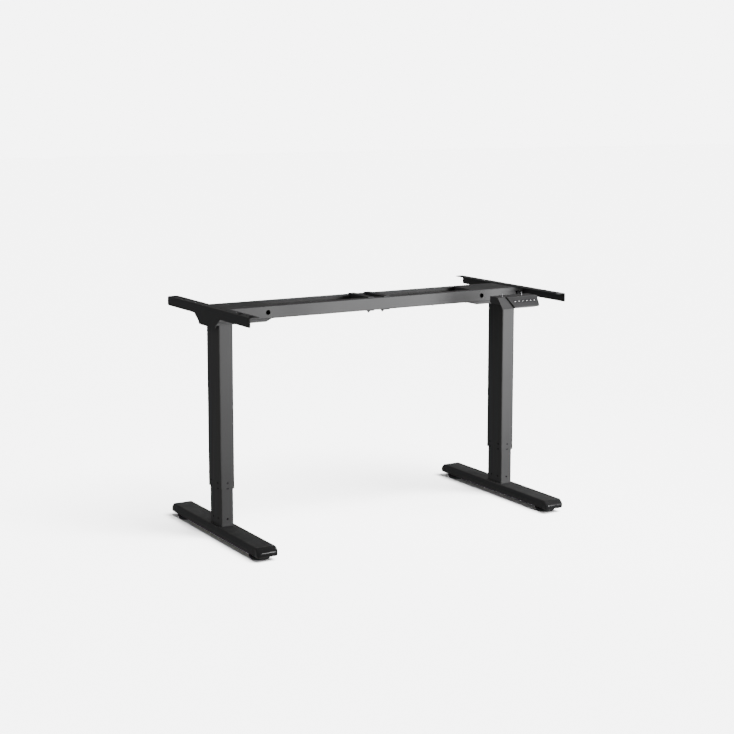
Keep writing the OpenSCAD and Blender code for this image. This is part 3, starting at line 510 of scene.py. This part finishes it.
class Shaper(Board):
    """Lays out a geometry tree with named sizes and gives its modifier their values."""

    def __init__(self, name, sizes):
        super().__init__(bpy.data.node_groups.new(name, "GeometryNodeTree"))
        face = self.tree.interface
        face.new_socket("Geometry", in_out="INPUT", socket_type="NodeSocketGeometry")
        for label, value in sizes.items():
            kind = "NodeSocketInt" if isinstance(value, int) else "NodeSocketFloat"
            face.new_socket(label, in_out="INPUT", socket_type=kind).default_value = value
        face.new_socket("Finish", in_out="INPUT", socket_type="NodeSocketMaterial")
        face.new_socket("Geometry", in_out="OUTPUT", socket_type="NodeSocketGeometry")
        self.given = self.put("NodeGroupInput").outputs

    def feed(self, node, **wires):
        for label, source in wires.items():
            self.join(source, node.inputs[label.replace("_", " ")])
        return node

    def triple(self, x=None, y=None, z=None):
        node = self.put("ShaderNodeCombineXYZ")
        for label, value in (("X", x), ("Y", y), ("Z", z)):
            if value is not None:
                self.join(value, node.inputs[label])
        return node.outputs[0]

    def merge(self, *shapes):
        node = self.put("GeometryNodeJoinGeometry")
        for shape in shapes:
            self.join(shape, node.inputs[0])
        return node.outputs[0]

    def moved(self, shape, offset):
        node = self.put("GeometryNodeTransform")
        return self.feed(node, Geometry=shape, Translation=offset).outputs[0]

    def close(self, shape):
        whole = self.put("GeometryNodeRealizeInstances")
        self.join(shape, whole.inputs[0])
        finish = self.put("GeometryNodeSetMaterial")
        self.feed(finish, Geometry=whole.outputs[0], Material=self.given["Finish"])
        self.join(finish.outputs[0], self.put("NodeGroupOutput").inputs[0])
        return self.tree


def shape_piece(name, tree, finish, bm=None, **sizes):
    """Runs a geometry tree over a base mesh and returns the plain piece."""
    mesh = bpy.data.meshes.new(name)
    if bm is not None:
        bm.to_mesh(mesh)
        bm.free()
    piece = bpy.data.objects.new(name, mesh)
    scene.collection.objects.link(piece)
    modifier = piece.modifiers.new("shape", "NODES")
    modifier.node_group = tree
    values = {label.replace("_", " "): value for label, value in sizes.items()}
    values["Finish"] = FINISH[finish]
    for item in tree.interface.items_tree:
        if item.item_type == "SOCKET" and item.in_out == "INPUT" and item.name in values:
            modifier[item.identifier] = values[item.name]
    settle(piece)
    return piece


def make_ribs_tree():
    """Upright half-round ribs set in a ring, as on the grip of a hand-turned foot."""
    shaper = Shaper("grip_ribs", {"Ring Radius": 0.03, "Rib Radius": 0.001, "Rib Height": 0.006,
                                  "Base Height": 0.0, "Rib Count": 36})
    given = shaper.given
    ring = shaper.put("GeometryNodeMeshCircle")
    shaper.feed(ring, Vertices=given["Rib Count"], Radius=given["Ring Radius"])
    rib = shaper.put("GeometryNodeMeshCone", {"Vertices": 10, "Side Segments": 1})
    shaper.feed(rib, Radius_Bottom=given["Rib Radius"], Radius_Top=given["Rib Radius"],
                Depth=given["Rib Height"])
    spots = shaper.put("GeometryNodeInstanceOnPoints")
    shaper.feed(spots, Points=ring.outputs[0], Instance=rib.outputs[0])
    raised = shaper.moved(spots.outputs[0], shaper.triple(z=given["Base Height"]))
    return shaper.close(shaper.merge(raised, given["Geometry"]))


def make_thread_tree():
    """A rod with a screw thread wound round it, standing on its base height."""
    shaper = Shaper("screw_thread", {"Rod Radius": 0.0046, "Tooth": 0.0006, "Pitch": 0.00125,
                                     "Length": 0.04, "Base Height": 0.0})
    given = shaper.given
    turns = shaper.calc("DIVIDE", given["Length"], given["Pitch"])
    wind = shaper.put("GeometryNodeCurveSpiral", {"Resolution": 20})
    shaper.feed(wind, Rotations=turns, Start_Radius=given["Rod Radius"],
                End_Radius=given["Rod Radius"], Height=given["Length"])
    tooth = shaper.put("GeometryNodeCurvePrimitiveCircle", {"Resolution": 4})
    shaper.feed(tooth, Radius=given["Tooth"])
    thread = shaper.put("GeometryNodeCurveToMesh", {"Fill Caps": True})
    shaper.feed(thread, Curve=wind.outputs[0], Profile_Curve=tooth.outputs[0])
    core = shaper.put("GeometryNodeMeshCylinder", {"Vertices": 28})
    shaper.feed(core, Radius=given["Rod Radius"], Depth=given["Length"])
    half = shaper.calc("MULTIPLY", given["Length"], 0.5)
    core_up = shaper.moved(core.outputs[0], shaper.triple(z=half))
    rod = shaper.merge(thread.outputs[0], core_up)
    return shaper.close(shaper.merge(shaper.moved(rod, shaper.triple(z=given["Base Height"])),
                                     given["Geometry"]))


def make_rows_tree():
    """Repeats the base shape in a straight row."""
    shaper = Shaper("straight_row", {"Count": 4, "Step X": 0.0, "Step Y": 0.01, "Step Z": 0.0})
    given = shaper.given
    row = shaper.put("GeometryNodeMeshLine")
    step = shaper.triple(given["Step X"], given["Step Y"], given["Step Z"])
    shaper.feed(row, Count=given["Count"], Offset=step)
    spots = shaper.put("GeometryNodeInstanceOnPoints")
    shaper.feed(spots, Points=row.outputs[0], Instance=given["Geometry"])
    return shaper.close(spots.outputs[0])


GRIP_RIBS = make_ribs_tree()
SCREW_THREAD = make_thread_tree()
STRAIGHT_ROW = make_rows_tree()


def weld(name, pieces):
    """Makes one piece of several that share their finishes."""
    bm = bmesh.new()
    finishes = []
    for piece in pieces:
        before = len(bm.faces)
        bm.from_mesh(piece.data)
        bm.faces.ensure_lookup_table()
        for face in bm.faces[before:]:
            finish = piece.data.materials[face.material_index]
            if finish not in finishes:
                finishes.append(finish)
            face.material_index = finishes.index(finish)
        bpy.data.objects.remove(piece)
    mesh = bpy.data.meshes.new(name)
    bm.to_mesh(mesh)
    bm.free()
    for finish in finishes:
        mesh.materials.append(finish)
    whole = bpy.data.objects.new(name, mesh)
    scene.collection.objects.link(whole)
    return whole


# ---------------------------------------------------------------- feet and columns

def make_levelling_feet():
    """Round foot with a ribbed grip, a stepped sole and a threaded stud."""
    stud_base, stud_clear = 0.0119, 0.0007
    for node in [n for n in NODES if n.startswith("level_foot")]:
        low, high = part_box(node)
        radius = (high[0] - low[0]) / 2
        disc = turned(bmesh.new(), [
            (0, 0.0006), (radius - 0.009, 0.0006), (radius - 0.0085, 0), (radius - 0.006, 0),
            (radius - 0.0022, 0.0012), (radius - 0.0011, 0.0028), (radius - 0.0011, 0.0092),
            (radius - 0.0018, 0.0104), (radius - 0.004, 0.0112), (radius - 0.011, 0.0112),
            (radius - 0.012, 0.0104), (0.0105, 0.0104), (0.0095, 0.0112), (0.0085, 0.012),
            (0.0062, 0.012), (0, 0.012)], 72)
        sole = add_mesh("sole", disc, "pad_plastic")
        ribs = shape_piece("ribs", GRIP_RIBS, "pad_plastic", Ring_Radius=radius - 0.0012,
                           Rib_Radius=0.0011, Rib_Height=0.0062, Base_Height=0.006, Rib_Count=44)
        stud = shape_piece("stud", SCREW_THREAD, "black_steel", Rod_Radius=0.0042, Tooth=0.0006,
                           Pitch=0.0015, Length=high[2] - stud_base - stud_clear,
                           Base_Height=stud_base)
        whole = weld(node + "_turned", [sole, ribs, stud])
        whole.data.transform(Matrix.Translation(plan_centre(node)))
        fit(whole, node, slot="pad_plastic")


CAP_SHARES = (0, 0.12, 0.2, 0.3, 0.42, 0.54, 0.64, 0.72, 0.79, 0.845, 0.89, 0.925, 0.952, 0.972,
              0.986, 0.995, 1)    # where a cap's rings stand, as shares of its length
CAP_CORNER = 0.006                # corner radius of the section
SEAM_INSET = 0.0005               # depth of the groove beside the tube
SEAM_WIDTH = 0.0006


def rounded_ring(bm, y, half, low, high, radius, steps=6):
    """One cross-section of an end cap: a rounded rectangle standing at y."""
    radius = min(radius, (high - low) * 0.46, half * 0.9)
    ring = []
    for quarter, (sx, sz) in enumerate(((1, 1), (-1, 1), (-1, -1), (1, -1))):
        centre_x = sx * (half - radius)
        centre_z = (high - radius) if sz > 0 else (low + radius)
        for k in range(steps + 1):
            angle = (quarter + k / steps) * math.pi / 2
            ring.append(bm.verts.new((centre_x + radius * math.cos(angle), y,
                                      centre_z + radius * math.sin(angle))))
    return ring


def cap_section(y, length, width, low, high):
    """Half width, underside and top of an end cap at a distance y from the tube."""
    corner, nose = 0.010, 0.0034
    half = width / 2
    if y > length - corner:
        half += math.sqrt(max(0, corner ** 2 - (y - length + corner) ** 2)) - corner
    slope = max(0, min(1, (y - 0.004) / (length - 0.007)))
    top = high - 0.012 * slope
    if y > length - nose:
        top -= nose - math.sqrt(max(0, nose ** 2 - (y - length + nose) ** 2))
    under = low + 0.007 * max(0, (y - length + 0.007) / 0.007) ** 1.6
    return half, under, max(top, under + 0.0035)


def cap_mesh(length, width, low, high):
    """One cap from its seam groove to its nose, closed at both ends."""
    bm = bmesh.new()
    rings = []
    for share in CAP_SHARES:
        half, under, top = cap_section(share * length, length, width, low, high)
        y = SEAM_WIDTH + share * (length - SEAM_WIDTH)
        rings.append(rounded_ring(bm, y, half, under, top, CAP_CORNER))
    for y in (0.00035, 0.00002):
        rings.insert(0, rounded_ring(bm, y, width / 2 - SEAM_INSET, low + SEAM_INSET,
                                     high - SEAM_INSET, CAP_CORNER - SEAM_INSET))
    for first, second in zip(rings, rings[1:]):
        count = len(first)
        for k in range(count):
            after = (k + 1) % count
            bm.faces.new((first[k], second[k], second[after], first[after]))
    bm.faces.new(list(reversed(rings[0])))
    bm.faces.new(rings[-1])
    bmesh.ops.recalc_face_normals(bm, faces=bm.faces)
    return bm


def make_foot_caps():
    """Moulded caps: a seam groove, a sloping top and a round nose."""
    for side in SIDES:
        node = "foot_caps_" + side
        low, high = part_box(node)
        tube_low, tube_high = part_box("foot_" + side)
        centre = Matrix.Translation(((low[0] + high[0]) / 2, 0, 0))
        tube_end = Matrix.Translation((0, tube_high[1], 0))
        caps = []
        for turn in (0, math.pi):
            bm = cap_mesh(high[1] - tube_high[1], tube_high[0] - tube_low[0], tube_low[2],
                          tube_high[2])
            placed(bm, centre @ Matrix.Rotation(turn, 4, "Z") @ tube_end)
            caps.append(add_mesh("cap", bm, "cap_plastic"))
        fit(weld(node + "_moulded", caps), node, slot="cap_plastic")


COLUMN_PARTS = (("foot", 0.0004, "foot_paint"), ("inner_tube", 0.0003, "tube_paint"),
                ("outer_tube", 0.0004, "tube_paint"), ("lower_glide", 0.0003, "mouth_nylon"),
                ("upper_glide", 0.0003, "glide_nylon"), ("head_box", 0.0007, "head_paint"),
                ("head_tray", 0.0007, "head_paint"), ("bracket", 0.0004, "bracket_paint"))


def make_spindle(node):
    """A wound lead screw that stays clear of both ends of the node."""
    clear = 0.0008
    low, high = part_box(node)
    rod = shape_piece(node + "_wound", SCREW_THREAD, "spindle_steel", Rod_Radius=0.0062,
                      Tooth=0.00076, Pitch=0.008, Length=high[2] - low[2] - 2 * clear,
                      Base_Height=low[2] + clear)
    rod.data.transform(Matrix.Translation(plan_centre(node)))
    fit(rod, node, slot="spindle_steel")


def make_foot_and_column():
    """The eased tubes, glides, head and bracket of each side, and its spindle."""
    for side in SIDES:
        for part, width, finish in COLUMN_PARTS:
            eased(part + "_" + side, width, finish)
        make_spindle("spindle_" + side)


def make_bracket_pads():
    """Domed rubber studs with a flange and a shallow grip ring in the face."""
    pitch = 0.073
    for side in SIDES:
        node = "bracket_pads_" + side
        low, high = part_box(node)
        radius = (high[0] - low[0]) / 2
        x = (low[0] + high[0]) / 2
        seat, top = cad_top, high[2]
        pads = []
        for start, step in ((low[1] + radius, pitch), (high[1] - radius, -pitch)):
            pad = turned(bmesh.new(), [
                (0, seat + 0.00002), (radius - 0.0002, seat + 0.00002), (radius, seat + 0.0003),
                (radius - 0.0002, top - 0.0006), (radius - 0.0009, top - 0.0001),
                (radius - 0.0016, top), (radius - 0.0032, top), (radius - 0.0036, top - 0.0004),
                (radius - 0.0044, top - 0.0004), (radius - 0.0048, top), (0, top)], 40)
            pads.append(shape_piece("pad", STRAIGHT_ROW, "pad_rubber",
                                    placed(pad, Matrix.Translation((x, start, 0))),
                                    Count=2, Step_X=0.0, Step_Y=step, Step_Z=0.0))
        pads.append(add_mesh("stems", merged_copy(node), "pad_rubber"))
        fit(weld(node + "_domed", pads), node, slot="pad_rubber")


# ---------------------------------------------------------------- beam and clamps

def cap_profile(radius, height, socket):
    """Half outline of a button head whose key socket opens at the top."""
    return [(0, 0), (radius - 0.0003, 0), (radius, 0.0004), (radius - 0.0001, height * 0.35),
            (radius * 0.9, height * 0.72), (radius * 0.74, height * 0.94),
            (radius * 0.6, height), (socket + 0.0003, height), (socket, height - 0.0003),
            (socket, height * 0.35), (0, height * 0.35)]


def make_beam():
    """The eased rails and what clamps them; the head bolts keep their plain edges."""
    for node in ("outer_rail_front", "outer_rail_rear", "inner_rail_front", "inner_rail_rear"):
        eased(node, 0.00045, "rail_paint")
    eased("tie_plates", 0.0004, "head_paint")
    eased("clamp_bars", 0.0009, "clamp_paint")
    eased("clamp_plates", 0.0006, "clamp_paint")
    eased("clamp_bolts", 0.0005, "black_steel")
    bolts = add_mesh("head_bolts_right_finished", merged_copy("head_bolts_right"), "black_steel")
    fit(bolts, "head_bolts_right", slot="black_steel")


def make_clamp_sockets():
    """A shallow six-sided ring with a raised rim on the head of each clamp bolt."""
    head_radius = 0.0067
    low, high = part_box("clamp_bolts")
    rings = []
    for x in (low[0] + head_radius, high[0] - head_radius):
        for y in (low[1] + head_radius, high[1] - head_radius):
            bm = turned(bmesh.new(), [
                (0, 0.00012), (0.0021, 0.00012), (0.0024, 0.0002), (0.0034, 0.00022),
                (0.0037, 0.00006), (0.0046, 0.00004), (0.0046, -0.0002), (0, -0.0002)], 6)
            at = Matrix.Translation((x, y, high[2]))
            rings.append(add_mesh("ring", placed(bm, at), "black_steel"))
    mount(weld("clamp_bolt_sockets", rings), "clamp_bolts")


# ---------------------------------------------------------------- control box

def make_control_box():
    """The eased box, lid and sockets, with four cover screws and a row of ribs below."""
    screw_inset, rib_inset, rib_pitch = 0.008, 0.03, 0.006
    eased("control_box", 0.0012, "box_plastic")
    eased("control_lid", 0.0004, "box_plastic")
    eased("control_sockets", 0.0003, "socket_plastic")
    low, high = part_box("control_box")
    screws = []
    for x in (low[0] + screw_inset, high[0] - screw_inset):
        for y in (low[1] + screw_inset, high[1] - screw_inset):
            bm = turned(bmesh.new(), cap_profile(0.0028, 0.0011, 0.0011), 24)
            under = Matrix.Translation((x, y, low[2])) @ UPSIDE_DOWN
            screws.append(add_mesh("screw", placed(bm, under), "black_steel"))
    mount(weld("control_box_screws", screws), "control_box")
    fin = bmesh.new()
    bmesh.ops.create_cube(fin, size=1)
    bmesh.ops.scale(fin, vec=(0.0016, high[1] - low[1] - rib_inset, 0.0012), verts=fin.verts)
    ease_edges(fin, 0.0003)
    placed(fin, Matrix.Translation((low[0] + rib_inset, 0, low[2] - 0.0005)))
    fins = shape_piece("control_box_ribs", STRAIGHT_ROW, "box_plastic", fin, Count=16,
                       Step_X=rib_pitch, Step_Y=0.0, Step_Z=0.0)
    mount(fins, "control_box")


# ---------------------------------------------------------------- drive

def make_drive():
    """The eased gearbox and motor of each side."""
    for side in SIDES:
        eased("gearbox_" + side, 0.0008, "cast_alloy")
        eased("motor_" + side, 0.0006, "motor_steel")


# ---------------------------------------------------------------- handset

def outline_to_face(bm, points, lift, thick):
    """Raises a thin plate from a flat outline."""
    base = [bm.verts.new((x, y, lift)) for x, y in points]
    face = bm.faces.new(base)
    made = bmesh.ops.extrude_face_region(bm, geom=[face])
    for item in made["geom"]:
        if isinstance(item, bmesh.types.BMVert):
            item.co.z += thick


def stroke(bm, x0, y0, x1, y1, width, lift, thick=0.00012):
    """One straight bar of a printed sign, square at both ends."""
    along = Vector((x1 - x0, y1 - y0)).normalized() * width / 2
    side = Vector((-along.y, along.x))
    points = [Vector((x0, y0)) - along - side, Vector((x1, y1)) + along - side,
              Vector((x1, y1)) + along + side, Vector((x0, y0)) - along + side]
    outline_to_face(bm, [tuple(p) for p in points], lift, thick)


SIGNS = {
    "up": [((-2, -1), (0, 1.2)), ((0, 1.2), (2, -1))],
    "down": [((-2, 1), (0, -1.2)), ((0, -1.2), (2, 1))],
    "1": [((0, -2), (0, 2)), ((-1, 1), (0, 2))],
    "2": [((-1.2, 2), (1.2, 2)), ((1.2, 2), (1.2, 0)), ((1.2, 0), (-1.2, 0)),
          ((-1.2, 0), (-1.2, -2)), ((-1.2, -2), (1.2, -2))],
    "3": [((-1.2, 2), (1.2, 2)), ((1.2, 2), (1.2, -2)), ((1.2, -2), (-1.2, -2)),
          ((-0.8, 0), (1.2, 0))],
    "set": [((-1.6, 1.6), (1.6, 1.6)), ((-1.6, 0), (1.6, 0)), ((-1.6, -1.6), (1.6, -1.6))],
}
SIGN_ORDER = ("down", "up", "1", "2", "3", "set")
SIGN_UNIT = 0.0013                # length of one step in SIGNS
SIGN_LINE = 0.0012                # width of a printed line
SIGN_DEPTH = 0.00052              # how far a sign's underside lies below the key's rim


def make_buttons():
    """Dished round keys with a rounded rim, each with its printed sign, which is made to glow
    white as painted light.
    """
    joints = frame["record"]["behaviour"]["joints"]
    inward = {joint["child"]: Vector(joint["axis"]) for joint in joints}
    for number, sign in enumerate(SIGN_ORDER, 1):
        node = "button_%d" % number
        low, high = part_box(node)
        middle = (Vector(low) + Vector(high)) / 2
        out = -inward["key_%d" % number]
        turn = Matrix.Rotation(math.atan2(-out.y, out.z), 4, "X")
        radius = (high[0] - low[0]) / 2
        depth = ((high[1] - low[1]) - 2 * radius * out.z) / -out.y
        top = depth / 2
        key = turned(bmesh.new(), [
            (0, -top), (radius - 0.0002, -top), (radius, -top + 0.0003), (radius, top - 0.0007),
            (radius - 0.0002, top - 0.00025), (radius - 0.0007, top), (radius - 0.0013, top),
            (radius - 0.0022, top - 0.0003), (0, top - 0.0005)], 40)
        at = Matrix.Translation(middle) @ turn
        keys = [add_mesh("key", placed(key, at), "button_plastic")]
        marks = bmesh.new()
        for start, end in SIGNS[sign]:
            corners = [value * SIGN_UNIT for value in (*start, *end)]
            stroke(marks, *corners, SIGN_LINE, top - SIGN_DEPTH)
        bmesh.ops.recalc_face_normals(marks, faces=marks.faces)
        # The sign marks are white print that also glows: a painted glow on the print.
        keys.append(add_mesh("mark", placed(marks, at), "glowing_sign_print"))
        fit(weld(node + "_dished", keys), node, slot="button_plastic")


def make_handset_screw(x, y, low, high):
    """A threaded rod with a pointed tip and a pan head that faces down."""
    head, point = 0.003, 0.0035
    rod = shape_piece("screw", SCREW_THREAD, "screw_steel", Rod_Radius=0.00155, Tooth=0.00042,
                      Pitch=0.0018, Length=high - low - head - point, Base_Height=low + head)
    rod.data.transform(Matrix.Translation((x, y, 0)))
    tip = turned(bmesh.new(), [(0, -0.0036), (0.0015, -0.0036), (0.0012, -0.0018),
                               (0.0003, -0.0002), (0, 0)], 24)
    pan = turned(bmesh.new(), cap_profile(0.004, head, 0.0014), 32)
    under = Matrix.Translation((x, y, low + head)) @ UPSIDE_DOWN
    return [rod, add_mesh("tip", placed(tip, Matrix.Translation((x, y, high))), "screw_steel"),
            add_mesh("pan", placed(pan, under), "screw_steel")]


def make_handset():
    """The eased handset with its two screws and, over each screw hole, a thin near-black disc
    with a raised rim: the disc is painted shade standing for the dark of the hole.
    """
    eased("handset_body", 0.0012, "handset_plastic", 18)
    eased("handset_cover", 0.0003, "handset_plastic")
    eased("handset_panel", 0.0002, "panel_plastic")
    head_radius = 0.004
    low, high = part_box("handset_screws")
    y = (low[1] + high[1]) / 2
    screws, hole_shade_discs = [], []
    for x in (low[0] + head_radius, high[0] - head_radius):
        screws += make_handset_screw(x, y, low[2], high[2])
        # A near-black disc, almost flat, laid over the mouth of the screw hole: painted shade for
        # the hole, with a thin raised rim round its edge.
        rim = turned(bmesh.new(), [(0, 0.00002), (0.0034, 0.00002), (0.0039, 0.00012),
                                   (0.0043, 0.0001), (0.0045, 0.00001), (0, 0.00001)], 32)
        at = Matrix.Translation((x, y, cad_top))
        hole_shade_discs.append(add_mesh("rim", placed(rim, at), "mouth_nylon"))
    fit(weld("handset_screws_threaded", screws), "handset_screws", slot="zinc_steel")
    mount(weld("handset_screw_hole_shades", hole_shade_discs), "handset_body")


# ---------------------------------------------------------------- studio

ROOM_GLOW = 0.19                  # how brightly the room lights the desk
WALL_GLOW = 6.5                   # how bright the room looks to the camera
PANEL_LIGHTS = (                  # name, power, size, place, aim, spread
    ("key_light", 23.5, 0.9, (1.0, -2.4, 0.9), (0.4, 0, 0.84), 70),
    ("right_fill", 5, 0.9, (2.2, 0.4, 1.2), (0.3, 0, 0.5), 150),
)
SUNS = (                          # name, strength, spread, azimuth, height, what it leaves out
    ("edge_glint", 1.0, 18, 31, 5, "diffuse"),
    ("back_light", 4.2, 28, 168, 3, "glossy"),
    ("front_fill", 0.3, 60, 20, 5, "glossy"),
    ("left_fill", 0.35, 60, -85, 20, "glossy"),
)


def make_floor():
    """Plain pale floor, bright to the eye and shaded softly round the feet."""
    bm = bmesh.new()
    bmesh.ops.create_grid(bm, x_segments=1, y_segments=1, size=30)
    placed(bm, Matrix.Translation((0, 0, -0.0004)))
    paint = bpy.data.materials.new("pale_floor")
    paint.use_nodes = True
    shader = paint.node_tree.nodes["Principled BSDF"]
    shader.inputs["Base Color"].default_value = (0.86, 0.86, 0.86, 1)
    shader.inputs["Roughness"].default_value = 0.9
    shader.inputs["Specular IOR Level"].default_value = 0.1
    mesh = bpy.data.meshes.new("studio_floor")
    bm.to_mesh(mesh)
    bm.free()
    mesh.materials.append(paint)
    floor = bpy.data.objects.new("studio_floor", mesh)
    scene.collection.objects.link(floor)
    floor.visible_diffuse = False
    floor.visible_glossy = False
    return floor


def add_sun(name, strength, spread, azimuth, height):
    """A soft far light; azimuth 0 comes from the front, 90 from the right."""
    data = bpy.data.lights.new(name, "SUN")
    data.energy = strength
    data.angle = math.radians(spread)
    lamp = bpy.data.objects.new(name, data)
    lamp.rotation_euler = (math.radians(90 - height), 0, math.radians(azimuth))
    scene.collection.objects.link(lamp)
    return lamp


def add_panel_light(name, power, size, place, aim, spread):
    """A square softbox at place, turned towards aim and narrowed to a spread in degrees."""
    data = bpy.data.lights.new(name, "AREA")
    data.energy = power
    data.size = size
    data.spread = math.radians(spread)
    lamp = bpy.data.objects.new(name, data)
    lamp.location = place
    lamp.rotation_euler = (Vector(aim) - Vector(place)).to_track_quat("-Z", "Y").to_euler()
    scene.collection.objects.link(lamp)
    return lamp


def light_studio(floor):
    """A bright room, soft lights on the desk and a sun that lights the floor alone."""
    world = bpy.data.worlds.new("studio")
    scene.world = world
    world.use_nodes = True
    board = Board(world.node_tree)
    room = world.node_tree.nodes["Background"]
    room.inputs["Color"].default_value = (1, 1, 1, 1)
    room.inputs["Strength"].default_value = ROOM_GLOW
    wall = board.put("ShaderNodeBackground", {"Color": (1, 1, 1, 1), "Strength": WALL_GLOW})
    seen = board.put("ShaderNodeLightPath")
    either = board.put("ShaderNodeMixShader")
    board.join(seen.outputs["Is Camera Ray"], either.inputs[0])
    board.join(room.outputs[0], either.inputs[1])
    board.join(wall.outputs[0], either.inputs[2])
    board.join(either.outputs[0], world.node_tree.nodes["World Output"].inputs[0])
    for panel in PANEL_LIGHTS:
        add_panel_light(*panel)
    for *sun, left_out in SUNS:
        setattr(add_sun(*sun), "visible_" + left_out, False)
    overhead = add_sun("floor_light", 27, 42, 22, 56)
    ground = bpy.data.collections.new("lit_floor")
    ground.objects.link(floor)
    overhead.light_linking.receiver_collection = ground


# ---------------------------------------------------------------- the desk

set_camera()
light_studio(make_floor())
make_levelling_feet()
make_foot_caps()
make_foot_and_column()
make_bracket_pads()
make_beam()
make_clamp_sockets()
make_control_box()
make_drive()
make_buttons()
make_handset()

for node, plain in (("foot_bolts", "zinc_steel"), ("nut_plate", "cast_alloy"),
                    ("spindle_nut", "nut_brass"), ("tube_insert", "black_steel")):
    for side in SIDES:
        shape = NODES["%s_%s" % (node, side)]
        shape.data.materials.clear()
        shape.data.materials.append(FINISH[plain])

bpy.context.view_layer.update()
